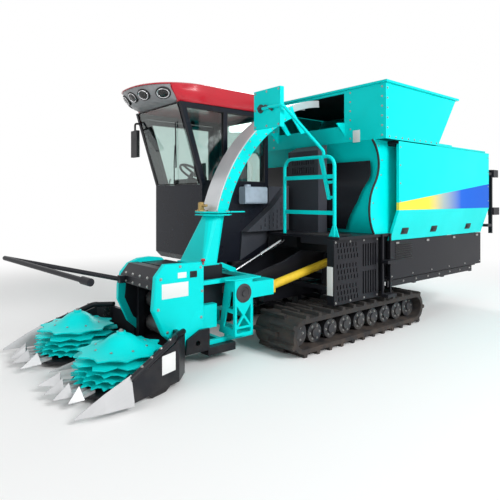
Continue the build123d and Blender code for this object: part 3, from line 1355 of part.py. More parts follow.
with BuildPart() as duct:
    foot_middle = (sum(DUCT_FOOT_X) / 2, sum(DUCT_FOOT_Y) / 2)
    foot_half = ((DUCT_FOOT_X[1] - DUCT_FOOT_X[0]) / 2, (DUCT_FOOT_Y[1] - DUCT_FOOT_Y[0]) / 2)
    block(
        (DUCT_FOOT_X[0] - FLANGE_THICK, DUCT_FOOT_X[1] + FLANGE_THICK),
        BLOWER_Y,
        (BLOWER_Z[1], BLOWER_Z[1] + FLANGE_THICK),
    )
    for z in (FLANGE_FOOT, FLANGE_Z - FLANGE_THICK):
        with BuildSketch(level(z)) as plate:
            with Locations((FLANGE_X, SPOUT_MIDDLE_Y)):
                RegularPolygon(FLANGE_HALF, 8, rotation=22.5, major_radius=False)
        extrude(plate.sketch, amount=FLANGE_THICK)
    with BuildSketch(level(FLANGE_FOOT)) as ring:
        with Locations((FLANGE_X, SPOUT_MIDDLE_Y)):
            Circle(SLEW_R)
    extrude(ring.sketch, amount=FLANGE_Z - FLANGE_FOOT)
    prism(level(FLANGE_Z - FLANGE_THICK), SLEW_LEVER, FLANGE_THICK)
    for inset, mode in ((0, Mode.ADD), (DUCT_SHEET, Mode.SUBTRACT)):
        sections = []
        for z, centre, halves, corner in (
            (BLOWER_Z[1], foot_middle, foot_half, DUCT_CORNER),
            (FLANGE_FOOT, (FLANGE_X, SPOUT_MIDDLE_Y), (DUCT_R, DUCT_R), DUCT_R),
        ):
            with BuildSketch(level(z)) as section:
                Polygon(*rounded(centre, (halves[0] - inset, halves[1] - inset), corner - inset), align=None)
            sections.append(section.sketch)
        loft(sections, ruled=True, mode=mode)
    with BuildSketch(level(FLANGE_FOOT)) as bore:
        Polygon(*rounded((FLANGE_X, SPOUT_MIDDLE_Y), (DUCT_R - DUCT_SHEET,) * 2, DUCT_R - DUCT_SHEET), align=None)
    extrude(bore.sketch, amount=FLANGE_Z - FLANGE_FOOT, mode=Mode.SUBTRACT)
pieces["duct"] = duct.part

SPOUT_CENTRE = (SPOUT_X, SPOUT_Z)
SPOUT_TURN = (12, SPOUT_END_DEG)
BELOW_FLANGE = ((SPOUT_X, 4000), (-1000, 1000), (0, FLANGE_Z))
DEFLECTOR = ((415, 2490), (345, 2520), (177, 2312), (240, 2292))
with BuildPart() as spout_sides:
    for y in (SPOUT_Y[1], SPOUT_Y[0] + SPOUT_SHEET):
        sector(SPOUT_CENTRE, (SPOUT_R - SPOUT_DEPTH, SPOUT_R), SPOUT_TURN, side(y), SPOUT_SHEET)
        prism(side(y), DEFLECTOR, SPOUT_SHEET)
    block(*BELOW_FLANGE, Mode.SUBTRACT)
pieces["spout_sides"] = spout_sides.part
FLAP_DEPTH = 70
FLAP_TURN = (SPOUT_END_DEG, SPOUT_END_DEG + 15)
with BuildPart() as spout_liner:
    sector(
        SPOUT_CENTRE,
        (SPOUT_R, SPOUT_R + SPOUT_SHEET),
        (SPOUT_TURN[0], FLAP_TURN[1]),
        side(SPOUT_Y[1]),
        SPOUT_Y[1] - SPOUT_Y[0],
    )
    block(*BELOW_FLANGE, Mode.SUBTRACT)
    for y in (SPOUT_Y[1], SPOUT_Y[0] + SPOUT_SHEET):
        sector(SPOUT_CENTRE, (SPOUT_R - FLAP_DEPTH, SPOUT_R), FLAP_TURN, side(y), SPOUT_SHEET)
pieces["spout_liner"] = spout_liner.part

# Hitch frame behind the chopper, with the gear tower on its left, lift arms, shaft and push bar
TOWER_SIDE_CUTS = (
    ((1318, 505), (1318, 315), (1390, 410)),
    ((1487, 505), (1487, 315), (1415, 410)),
    ((1335, 302), (1470, 302), (1402, 388)),
    ((1318, 240), (1487, 240), (1487, 282), (1318, 282)),
)
TOWER_FRONT = ((TOWER_Y[0], TOWER_Z[0]), (TOWER_Y[1], TOWER_Z[0]), (TOWER_Y[1], TOWER_Z[1]), (500, TOWER_Z[1]))
TOWER_FRONT_CUTS = (
    ((545, 470), (620, 470), (620, 640), (580, 640)),
    ((468, 280), (620, 280), (620, 430), (512, 430)),
)
TOWER_TOP = ((1180, 500), (1180, 650), (1512, 665), (1590, 600), (1590, 540), (1512, 480))
TOWER_TOP_THICK = 12
GEAR_CASE_X = (1600, CHOPPER_X[0])
GEAR_CASE_Y = (404, 478)
GEAR_CASE_Z = (296, 520)
STRUT_LEVER = ((1115, 735), (1150, 790), (1335, 865), (1360, 835), (1215, 755), (1175, 735))
STRUT_LEVER_Y = (175, 199)
with BuildPart() as hitch_frame:
    for y in (HITCH_Y[0], HITCH_Y[1] - HITCH_BAR):
        bar = (y, y + HITCH_BAR)
        for z in (HITCH_Z[0], HITCH_Z[1] - HITCH_BAR):
            block((HITCH_X[0], CHOPPER_X[0]), bar, (z, z + HITCH_BAR))
        block((HITCH_X[0], HITCH_X[0] + HITCH_BAR), bar, HITCH_Z)
    for z in (HITCH_Z[0], EYE_PIN_Z - HITCH_BAR / 2, HITCH_Z[1] - HITCH_BAR):
        block((HITCH_X[0], HITCH_X[0] + HITCH_BAR), HITCH_Y, (z, z + HITCH_BAR))
    block((HITCH_X[1] - HITCH_BAR, HITCH_X[1]), HITCH_Y, (HITCH_Z[0], HITCH_Z[0] + HITCH_BAR))
    for y in LUG_YS:
        block((EYE_PIN_X - 36, HITCH_X[0]), (y, y + LUG_PLATE), (EYE_PIN_Z - 30, EYE_PIN_Z + 30))
    drum((EYE_PIN_X, EYE_PIN_Z), PIN_R, (LUG_YS[0], LUG_YS[1] + LUG_PLATE))
    tower_left = (TOWER_Y[1] - TOWER_SHEET, TOWER_Y[1])
    block(TOWER_X, tower_left, TOWER_Z)
    for cut in TOWER_SIDE_CUTS:
        prism(side(TOWER_Y[1]), cut, TOWER_SHEET, Mode.SUBTRACT)
    prism(across(TOWER_X[1] - TOWER_SHEET), TOWER_FRONT, TOWER_SHEET)
    for cut in TOWER_FRONT_CUTS:
        prism(across(TOWER_X[1] - TOWER_SHEET), cut, TOWER_SHEET, Mode.SUBTRACT)
    block((TOWER_X[0], TOWER_X[0] + TOWER_SHEET), (HITCH_Y[1] - HITCH_BAR, TOWER_Y[1]), TOWER_Z)
    block(TOWER_X, TOWER_Y, (TOWER_Z[0], TOWER_Z[0] + TOWER_SHEET))
    block(TOWER_X, (HITCH_Y[1] - HITCH_BAR, HITCH_Y[1]), (HITCH_Z[0], TOWER_Z[0]))
    prism(level(TOWER_Z[1]), TOWER_TOP, TOWER_TOP_THICK)
    block(SHAFT_BOX_X, (LEFT_ARM_Y + ARM_THICK / 2 + SEAT_GAP, TOWER_Y[1]), SHAFT_BOX_Z)
    block(GEAR_CASE_X, GEAR_CASE_Y, GEAR_CASE_Z)
    prism(side(STRUT_LEVER_Y[1]), STRUT_LEVER, STRUT_LEVER_Y[1] - STRUT_LEVER_Y[0])
pieces["hitch_frame"] = hitch_frame.part

with BuildPart() as lift_arms:
    for y in (RIGHT_ARM_Y, LEFT_ARM_Y):
        prism(
            side(y + ARM_THICK / 2),
            (
                (PIVOT_X - 55, PIVOT_Z - 60),
                (PIVOT_X + 60, PIVOT_Z - 70),
                (HITCH_X[0], 560),
                (HITCH_X[0], 740),
                (700, 850),
                (PIVOT_X + 420, 950),
                (PIVOT_X - 55, PIVOT_Z + 60),
            ),
            ARM_THICK,
        )
        drum((PIVOT_X, PIVOT_Z), PIVOT_R + RUN_GAP, (y - ARM_THICK, y + ARM_THICK), Mode.SUBTRACT)
pieces["lift_arms"] = lift_arms.part

with BuildPart() as drive_shaft:
    rod((PIVOT_X + 70, SHAFT_Y, PIVOT_Z - 14), (SHAFT_BOX_X[0] - 12, SHAFT_Y, 640), SHAFT_R)
    block((SHAFT_BOX_X[0] - 25, SHAFT_BOX_X[0]), (SHAFT_Y - SHAFT_R, SHAFT_Y + SHAFT_R), (575, 700))
pieces["drive_shaft"] = drive_shaft.part

BAR_R = 22
BAR_FOOT = (2330, -60, 762)
BAR_SHOE_X = (HOOD_FRONT_X, 2356)
BAR_SHOE_HALF = 30
BAR_APEX = (3150, -900, 950)
BAR_END = (2860, 530, 870)
with BuildPart() as push_bar:
    rod(BAR_FOOT, BAR_APEX, BAR_R)
    rod(BAR_APEX, BAR_END, BAR_R)
    with Locations(BAR_APEX):
        Sphere(BAR_R)
    reach = (Vector(*BAR_END) - Vector(*BAR_APEX)).normalized() * 120
    rod(tuple(Vector(*BAR_END) - reach), BAR_END, BAR_R + 10)
    block(BAR_SHOE_X, (BAR_FOOT[1] - BAR_SHOE_HALF, BAR_FOOT[1] + BAR_SHOE_HALF), (HOOD_LOW, 800))
pieces["push_bar"] = push_bar.part

LUG_EYE_R = 25
with BuildPart() as tow_lug:
    prism(
        side(CHOPPER_Y[1] + CHOPPER_COVER + 30),
        ((1760, 130), (2020, 130), (2000, 260), (1860, 330), (1760, 330)),
        30,
    )
    block((1455, 1775), (440, CHOPPER_Y[1] + CHOPPER_COVER + 30), (75, HITCH_Z[0] - SEAT_GAP))
    drum((1890, 215), LUG_EYE_R, (CHOPPER_Y[1], CHOPPER_Y[1] + 200), Mode.SUBTRACT)
pieces["tow_lug"] = tow_lug.part

# Lift cylinder: a barrel on the chassis pin, and its rod on the hitch frame's pin
STROKE_LINE = Vector(EYE_PIN_X - BASE_PIN_X, 0, EYE_PIN_Z - BASE_PIN_Z)
ALONG = STROKE_LINE.normalized()
BASE_PIN = Vector(BASE_PIN_X, CYLINDER_Y, BASE_PIN_Z)
EYE_PIN = Vector(EYE_PIN_X, CYLINDER_Y, EYE_PIN_Z)
EYE_REACH = (CYLINDER_Y - EYE_HALF, CYLINDER_Y + EYE_HALF)
with BuildPart() as cylinder_barrel:
    rod(tuple(BASE_PIN + ALONG * 50), tuple(BASE_PIN + ALONG * BARREL_LENGTH), BARREL_R)
    rod(tuple(BASE_PIN), tuple(BASE_PIN + ALONG * 60), EYE_HALF)
    drum((BASE_PIN_X, BASE_PIN_Z), EYE_R, EYE_REACH)
    rod(tuple(BASE_PIN + ALONG * 80), tuple(BASE_PIN + ALONG * BARREL_LENGTH), ROD_R + RUN_GAP, Mode.SUBTRACT)
    drum((BASE_PIN_X, BASE_PIN_Z), PIN_R + RUN_GAP, EYE_REACH, Mode.SUBTRACT)
pieces["cylinder_barrel"] = cylinder_barrel.part

with BuildPart() as cylinder_rod:
    rod(tuple(BASE_PIN + ALONG * 110), tuple(EYE_PIN - ALONG * EYE_HALF), ROD_R)
    drum((EYE_PIN_X, EYE_PIN_Z), EYE_R, EYE_REACH)
    drum((EYE_PIN_X, EYE_PIN_Z), PIN_R + EYE_PLAY, EYE_REACH, Mode.SUBTRACT)
pieces["cylinder_rod"] = cylinder_rod.part

for name, piece in pieces.items():
    piece.label = name
    export_step(piece, f"parts/{name}.step")
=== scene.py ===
"""Looks of the tracked forage harvester: finishes, fasteners, seals, seat pads, stage and camera."""

import json
import logging
import math
from dataclasses import dataclass
from enum import Enum
from typing import Sequence

import bmesh
import bpy
from mathutils import Matrix, Vector
from mathutils.bvhtree import BVHTree


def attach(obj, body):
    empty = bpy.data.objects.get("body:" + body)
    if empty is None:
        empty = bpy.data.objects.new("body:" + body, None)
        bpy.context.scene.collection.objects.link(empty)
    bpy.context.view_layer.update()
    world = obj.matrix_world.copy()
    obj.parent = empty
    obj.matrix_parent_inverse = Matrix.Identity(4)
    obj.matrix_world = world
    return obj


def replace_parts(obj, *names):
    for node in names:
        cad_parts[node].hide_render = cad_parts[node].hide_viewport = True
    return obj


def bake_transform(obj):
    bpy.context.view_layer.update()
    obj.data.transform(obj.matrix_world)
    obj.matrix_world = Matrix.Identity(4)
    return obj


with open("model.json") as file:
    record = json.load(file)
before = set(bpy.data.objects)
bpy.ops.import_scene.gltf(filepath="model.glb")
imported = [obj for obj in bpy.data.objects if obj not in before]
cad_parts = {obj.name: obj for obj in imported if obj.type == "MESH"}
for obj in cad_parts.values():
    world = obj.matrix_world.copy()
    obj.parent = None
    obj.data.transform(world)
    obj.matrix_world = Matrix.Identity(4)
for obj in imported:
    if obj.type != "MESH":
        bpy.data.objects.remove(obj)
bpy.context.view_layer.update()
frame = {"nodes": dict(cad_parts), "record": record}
LOG = logging.getLogger("harvester")

Point = tuple[float, float, float]
Colour = tuple[float, float, float]
Flat = tuple[float, float]
Span = tuple[float, float, float, float]
Socket = bpy.types.NodeSocket
Value = Socket | float | tuple[float, ...]

UP: Point = (0.0, 0.0, 1.0)
FORWARD: Point = (1.0, 0.0, 0.0)
BACK: Point = (-1.0, 0.0, 0.0)
LEFT: Point = (0.0, 1.0, 0.0)
RIGHT: Point = (0.0, -1.0, 0.0)
SHARP = math.radians(35)
MIRROR_X = Matrix.Scale(-1, 4, FORWARD)
ON_SIDE = Matrix.Rotation(math.pi / 2, 4, "X")
PLATE_SINK = 0.0005
PLATE_RISE = 0.0015
PLATE_BEVEL = 0.0006
COAT_ROUGHNESS = 0.12
BUMP_DEPTH = 0.002
DUST_DULLS = 0.35
DULLEST = 0.95
SHADE_ROUGHNESS: Flat = (0.88, 1.12)
WHITE = (1.0, 1.0, 1.0, 1.0)


class Slot(str, Enum):
    """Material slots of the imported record."""

    CYAN = "cyan_paint"
    BLACK = "black_paint"
    STEEL = "grey_steel"
    WHEEL = "wheel_steel"
    IRON = "engine_iron"
    RUBBER = "track_rubber"
    PALE = "pale_plastic"
    CAB = "cab_paint"
    GLASS = "tinted_glass"
    RED = "red_paint"
    SILVER = "silver_paint"
    LENS = "lamp_glass"
    PLASTIC = "black_plastic"
    CLOTH = "seat_cloth"
    YELLOW = "yellow_plastic"
    CHROME = "bright_steel"


class Surface(Enum):
    """What the top of a finish feels like."""

    SPRAYED = "sprayed"
    MOULDED = "moulded"
    BRUSHED = "brushed"
    CAST = "cast"
    WOVEN = "woven"


class Side(Enum):
    """Hand of the machine."""

    LEFT = 1
    RIGHT = -1

    @property
    def out(self) -> Point:
        """Returns the direction out of this side."""
        return (0.0, float(self.value), 0.0)


@dataclass
class Graph:
    """A node tree with short ways to add nodes and join them."""

    tree: bpy.types.NodeTree

    def add(self, kind: str, **settings: object) -> bpy.types.Node:
        """Adds a node and sets its options.

        Args:
            kind: The node's type name.
            settings: Options by name.

        Returns:
            The new node.
        """
        node = self.tree.nodes.new(kind)
        for name, value in settings.items():
            setattr(node, name, value)
        return node

    def feed(self, socket: Socket, value: Value) -> None:
        """Links a socket to another, or sets its plain value."""
        if isinstance(value, Socket):
            self.tree.links.new(value, socket)
        else:
            socket.default_value = value

    def math(self, operation: str, *terms: Value) -> Socket:
        """Returns the result of a Math node."""
        node = self.add("ShaderNodeMath", operation=operation)
        for socket, term in zip(node.inputs, terms):
            self.feed(socket, term)
        return node.outputs[0]

    def ramp(self, value: Value, low: Value, high: Value, bottom: Value = 0.0, top: Value = 1.0) -> Socket:
        """Maps a value smoothly from low..high to bottom..top, held at both ends."""
        node = self.add("ShaderNodeMapRange", interpolation_type="SMOOTHSTEP")
        for socket, term in zip(node.inputs, (value, low, high, bottom, top)):
            self.feed(socket, term)
        return node.outputs[0]

    def mix(self, factor: Value, first: Value, second: Value) -> Socket:
        """Returns a colour between two colours."""
        node = self.add("ShaderNodeMix", data_type="RGBA")
        colours = [s for s in node.inputs if s.type == "RGBA"]
        self.feed(node.inputs["Factor"], factor)
        for socket, colour in zip(colours, (first, second)):
            self.feed(socket, colour if isinstance(colour, Socket) else (*colour[:3], 1.0))
        return next(s for s in node.outputs if s.type == "RGBA")

    def noise(self, place: Value, scale: Value, detail: float = 2.0) -> Socket:
        """Returns a soft noise value at a place."""
        node = self.add("ShaderNodeTexNoise")
        self.feed(node.inputs["Vector"], place)
        self.feed(node.inputs["Scale"], scale)
        node.inputs["Detail"].default_value = detail
        return node.outputs["Fac"]

    def place(self) -> Socket:
        """Returns the place on the machine, in metres."""
        return self.add("ShaderNodeTexCoord").outputs["Object"]

    def axes(self, vector: Value) -> tuple[Socket, ...]:
        """Returns a vector's X, Y and Z."""
        node = self.add("ShaderNodeSeparateXYZ")
        self.feed(node.inputs[0], vector)
        return tuple(node.outputs)

    def stretch(self, place: Value, scale: Point) -> Socket:
        """Returns a place stretched by an amount on each axis."""
        node = self.add("ShaderNodeVectorMath", operation="MULTIPLY")
        self.feed(node.inputs[0], place)
        node.inputs[1].default_value = scale
        return node.outputs[0]

    def use(self, group: bpy.types.NodeTree, **values: Value) -> bpy.types.bpy_prop_collection:
        """Places a shared group with its own values, and returns its outputs."""
        node = self.add("ShaderNodeGroup", node_tree=group)
        for name, value in values.items():
            self.feed(node.inputs[name.capitalize()], value)
        return node.outputs

    def blend(self, factor: Value, first: bpy.types.Node, second: bpy.types.Node) -> bpy.types.Node:
        """Returns a shader between two shaders."""
        node = self.add("ShaderNodeMixShader")
        for socket, value in zip(node.inputs, (factor, first.outputs[0], second.outputs[0])):
            self.feed(socket, value)
        return node

    def show(self, shader: bpy.types.Node, kind: str = "ShaderNodeOutputMaterial") -> None:
        """Ends the graph in an output that shows a shader."""
        self.feed(self.add(kind).inputs["Surface"], shader.outputs[0])


def blank_graph(owner: bpy.types.Material | bpy.types.World) -> Graph:
    """Returns the emptied node graph of a material or world."""
    owner.use_nodes = True
    owner.node_tree.nodes.clear()
    return Graph(owner.node_tree)


def shared_group(name: str, inputs: dict[str, float], outputs: dict[str, str]) -> tuple:
    """Starts a shader node group.

    Args:
        name: The group's name.
        inputs: Default values by input name.
        outputs: Kinds of socket by output name.

    Returns:
        The group's graph, its given sockets and its made sockets.
    """
    tree = bpy.data.node_groups.new(name, "ShaderNodeTree")
    for label, value in inputs.items():
        tree.interface.new_socket(label, in_out="INPUT", socket_type="NodeSocketFloat").default_value = value
    for label, kind in outputs.items():
        tree.interface.new_socket(label, in_out="OUTPUT", socket_type=f"NodeSocket{kind}")
    graph = Graph(tree)
    return graph, graph.add("NodeGroupInput").outputs, graph.add("NodeGroupOutput").inputs


class Effects:
    """Surface effects that the finishes share, each a node group built once."""

    def __init__(self) -> None:
        """Builds every group."""
        self.edges = self._edges()
        self.dust = self._dust()
        self.skins = {
            Surface.SPRAYED: self._sprayed(),
            Surface.MOULDED: self._moulded(),
            Surface.BRUSHED: self._brushed(),
            Surface.CAST: self._cast(),
            Surface.WOVEN: self._woven(),
        }

    def _edges(self) -> bpy.types.NodeTree:
        """Rounded edges, and where their paint has rubbed off."""
        outputs = {"Mask": "Float", "Normal": "Vector"}
        graph, given, made = shared_group("Edge wear", {"Radius": 0.004, "Wear": 0.5}, outputs)
        bevel = graph.add("ShaderNodeBevel", samples=4)
        graph.feed(bevel.inputs["Radius"], given["Radius"])
        level = graph.add("ShaderNodeVectorMath", operation="DOT_PRODUCT")
        graph.feed(level.inputs[0], bevel.outputs[0])
        graph.feed(level.inputs[1], graph.add("ShaderNodeNewGeometry").outputs["True Normal"])
        edge = graph.ramp(level.outputs["Value"], 0.99, 0.78)
        chips = graph.ramp(graph.noise(graph.place(), 55.0, 5.0), 0.5, 0.66)
        graph.feed(made["Mask"], graph.math("MULTIPLY", graph.math("MULTIPLY", edge, chips), given["Wear"]))
        graph.feed(made["Normal"], bevel.outputs[0])
        return graph.tree

    def _dust(self) -> bpy.types.NodeTree:
        """Field dust, thick near the ground and thin on upward faces."""
        graph, given, made = shared_group("Field dust", {"Reach": 0.6, "Amount": 0.5}, {"Mask": "Float"})
        place = graph.place()
        height = graph.axes(place)[2]
        low = graph.ramp(height, given["Reach"], 0.0)
        normal = graph.add("ShaderNodeNewGeometry").outputs["Normal"]
        up = graph.ramp(graph.axes(normal)[2], 0.5, 1.0, 0.0, 0.35)
        drifts = graph.ramp(graph.noise(place, 7.0, 6.0), 0.32, 0.72)
        specks = graph.ramp(graph.noise(place, 160.0, 2.0), 0.3, 0.8, 0.6, 1.0)
        lying = graph.math("MAXIMUM", low, up)
        mask = graph.math("MULTIPLY", graph.math("MULTIPLY", lying, drifts), specks)
        graph.feed(made["Mask"], graph.math("MULTIPLY", mask, given["Amount"]))
        return graph.tree

    def _skin(self, name: str) -> tuple:
        """Starts a skin group with a scale, giving a height for bump and a shade from 0 to 1."""
        return shared_group(name, {"Scale": 1.0}, {"Height": "Float", "Shade": "Float"})

    def _sprayed(self) -> bpy.types.NodeTree:
        """Sprayed paint: fine orange peel and broad, faint fading."""
        graph, given, made = self._skin("Sprayed paint")
        place = graph.place()
        graph.feed(made["Height"], graph.noise(place, graph.math("MULTIPLY", given["Scale"], 420.0), 1.0))
        graph.feed(made["Shade"], graph.ramp(graph.noise(place, 2.2, 4.0), 0.3, 0.7))
        return graph.tree

    def _moulded(self) -> bpy.types.NodeTree:
        """Moulded plastic or rubber: an even pebble grain."""
        graph, given, made = self._skin("Moulded grain")
        place = graph.place()
        cells = graph.add("ShaderNodeTexVoronoi")
        graph.feed(cells.inputs["Vector"], place)
        graph.feed(cells.inputs["Scale"], graph.math("MULTIPLY", given["Scale"], 260.0))
        graph.feed(made["Height"], graph.ramp(cells.outputs["Distance"], 0.0, 0.8, 1.0, 0.0))
        graph.feed(made["Shade"], graph.ramp(graph.noise(place, 14.0, 5.0), 0.3, 0.7))
        return graph.tree

    def _brushed(self) -> bpy.types.NodeTree:
        """Rolled sheet metal: long fine lines and cloudy patches."""
        graph, given, made = self._skin("Brushed sheet")
        place = graph.place()
        lines = graph.noise(graph.stretch(place, (6.0, 260.0, 6.0)), given["Scale"], 3.0)
        graph.feed(made["Height"], lines)
        clouds = graph.ramp(graph.noise(place, 5.0, 5.0), 0.3, 0.7)
        cloudy = graph.math("MULTIPLY", clouds, 0.5)
        graph.feed(made["Shade"], graph.math("MULTIPLY_ADD", lines, 0.5, cloudy))
        return graph.tree

    def _cast(self) -> bpy.types.NodeTree:
        """Rough casting: coarse sand texture."""
        graph, given, made = self._skin("Sand casting")
        place = graph.place()
        graph.feed(made["Height"], graph.noise(place, graph.math("MULTIPLY", given["Scale"], 180.0), 6.0))
        graph.feed(made["Shade"], graph.ramp(graph.noise(place, 11.0, 6.0), 0.3, 0.7))
        return graph.tree

    def _woven(self) -> bpy.types.NodeTree:
        """Plain weave: threads over and under by turns."""
        graph, given, made = self._skin("Plain weave")
        x, y, z = graph.axes(graph.place())
        pitch = graph.math("DIVIDE", 2 * math.pi / 0.0035, given["Scale"])
        warp = graph.math("SINE", graph.math("MULTIPLY", graph.math("ADD", x, z), pitch))
        weft = graph.math("SINE", graph.math("MULTIPLY", y, pitch))
        threads = graph.math("MULTIPLY", warp, weft)
        graph.feed(made["Height"], graph.math("MULTIPLY_ADD", threads, 0.5, 0.5))
        graph.feed(made["Shade"], graph.ramp(threads, -0.9, 0.9))
        return graph.tree


@dataclass(frozen=True)
class Finish:
    """One finish: its colour, gloss and surface, with the dust and wear that it carries."""

    name: str
    slot: Slot
    colour: Colour
    shade: Colour
    surface: Surface = Surface.SPRAYED
    scale: float = 1.0
    relief: float = 0.04
    roughness: float = 0.3
    metallic: float = 0.0
    coat: float = 0.0
    specular: float = 0.35
    edge: float = 0.004
    wear: float = 0.0
    bare: Colour = (0.32, 0.33, 0.34)
    dust: float = 0.25
    dust_reach: float = 0.8
    dust_colour: Colour = (0.34, 0.30, 0.25)

    def base(self, graph: Graph, shade: Value) -> Value:
        """Returns the clean colour, which varies a little with the shade value."""
        return graph.mix(shade, self.colour, self.shade)

    def material(self, effects: Effects) -> bpy.types.Material:
        """Builds the material.

        Args:
            effects: The shared groups.

        Returns:
            The material, ready for a slot.
        """
        material = bpy.data.materials.new(self.name)
        graph = blank_graph(material)
        shader = graph.add("ShaderNodeBsdfPrincipled")
        skin = graph.use(effects.skins[self.surface], scale=self.scale)
        edges = graph.use(effects.edges, radius=self.edge, wear=self.wear)
        dust = graph.use(effects.dust, reach=self.dust_reach, amount=self.dust)["Mask"]
        worn = graph.mix(edges["Mask"], self.base(graph, skin["Shade"]), self.bare)
        graph.feed(shader.inputs["Base Color"], graph.mix(dust, worn, self.dust_colour))
        rough = graph.ramp(skin["Shade"], 0.0, 1.0, *(self.roughness * share for share in SHADE_ROUGHNESS))
        dull = graph.math("MULTIPLY_ADD", dust, DUST_DULLS, rough)
        graph.feed(shader.inputs["Roughness"], graph.math("MINIMUM", dull, DULLEST))
        shader.inputs["Metallic"].default_value = self.metallic
        shader.inputs["Specular IOR Level"].default_value = self.specular
        shader.inputs["Coat Weight"].default_value = self.coat
        shader.inputs["Coat Roughness"].default_value = COAT_ROUGHNESS
        bump = graph.add("ShaderNodeBump")
        bump.inputs["Strength"].default_value = self.relief
        bump.inputs["Distance"].default_value = BUMP_DEPTH
        graph.feed(bump.inputs["Height"], skin["Height"])
        graph.feed(bump.inputs["Normal"], edges["Normal"])
        graph.feed(shader.inputs["Normal"], bump.outputs[0])
        graph.show(shader)
        return material


@dataclass(frozen=True)
class StripedFinish(Finish):
    """Paint with a wedge-shaped band that fades from yellow through grey to blue."""

    front: float = -0.465
    rear: float = -2.795
    low: float = 1.40
    front_high: float = 1.485
    rear_high: float = 1.745
    band: tuple[tuple[float, Colour], ...] = (
        (0.0, (0.90, 0.68, 0.07)),
        (0.28, (0.90, 0.68, 0.07)),
        (0.44, (0.36, 0.44, 0.44)),
        (0.64, (0.0, 0.11, 0.62)),
        (1.0, (0.0, 0.10, 0.58)),
    )

    def base(self, graph: Graph, shade: Value) -> Value:
        """Returns the paint with the band over it."""
        x, _, z = graph.axes(graph.place())
        along = graph.add("ShaderNodeMapRange")
        for socket, term in zip(along.inputs, (x, self.front, self.rear, 0.0, 1.0)):
            graph.feed(socket, term)
        share = along.outputs[0]
        top = graph.math("MULTIPLY_ADD", share, self.rear_high - self.front_high, self.front_high)
        above, below = graph.math("GREATER_THAN", z, self.low), graph.math("LESS_THAN", z, top)
        inside = graph.math("MULTIPLY", above, below)
        colours = graph.add("ShaderNodeValToRGB")
        while len(colours.color_ramp.elements) < len(self.band):
            colours.color_ramp.elements.new(1.0)
        for element, (place, colour) in zip(colours.color_ramp.elements, self.band):
            element.position = place
            element.color = (*colour, 1.0)
        graph.feed(colours.inputs[0], share)
        return graph.mix(inside, super().base(graph, shade), colours.outputs[0])


@dataclass(frozen=True)
class GlassFinish:
    """Clear or tinted glass that lets the light in."""

    name: str
    slot: Slot
    tint: Colour
    roughness: float = 0.02
    film: float = 3.0
    index: float = 1.45

    def material(self, effects: Effects) -> bpy.types.Material:
        """Builds the material, with a faint film that dulls it in patches.

        Args:
            effects: The shared groups, which glass leaves unused.

        Returns:
            The material, ready for a slot.
        """
        material = bpy.data.materials.new(self.name)
        graph = blank_graph(material)
        glass = graph.add("ShaderNodeBsdfPrincipled")
        glass.inputs["Base Color"].default_value = (*self.tint, 1.0)
        glass.inputs["Transmission Weight"].default_value = 1.0
        glass.inputs["IOR"].default_value = self.index
        patches = graph.noise(graph.place(), 6.0, 4.0)
        film = graph.ramp(patches, 0.3, 0.8, self.roughness, self.roughness * self.film)
        graph.feed(glass.inputs["Roughness"], film)
        clear = graph.add("ShaderNodeBsdfTransparent")
        clear.inputs["Color"].default_value = (*self.tint, 1.0)
        shadow = graph.add("ShaderNodeLightPath").outputs["Is Shadow Ray"]
        graph.show(graph.blend(shadow, glass, clear))
        return material


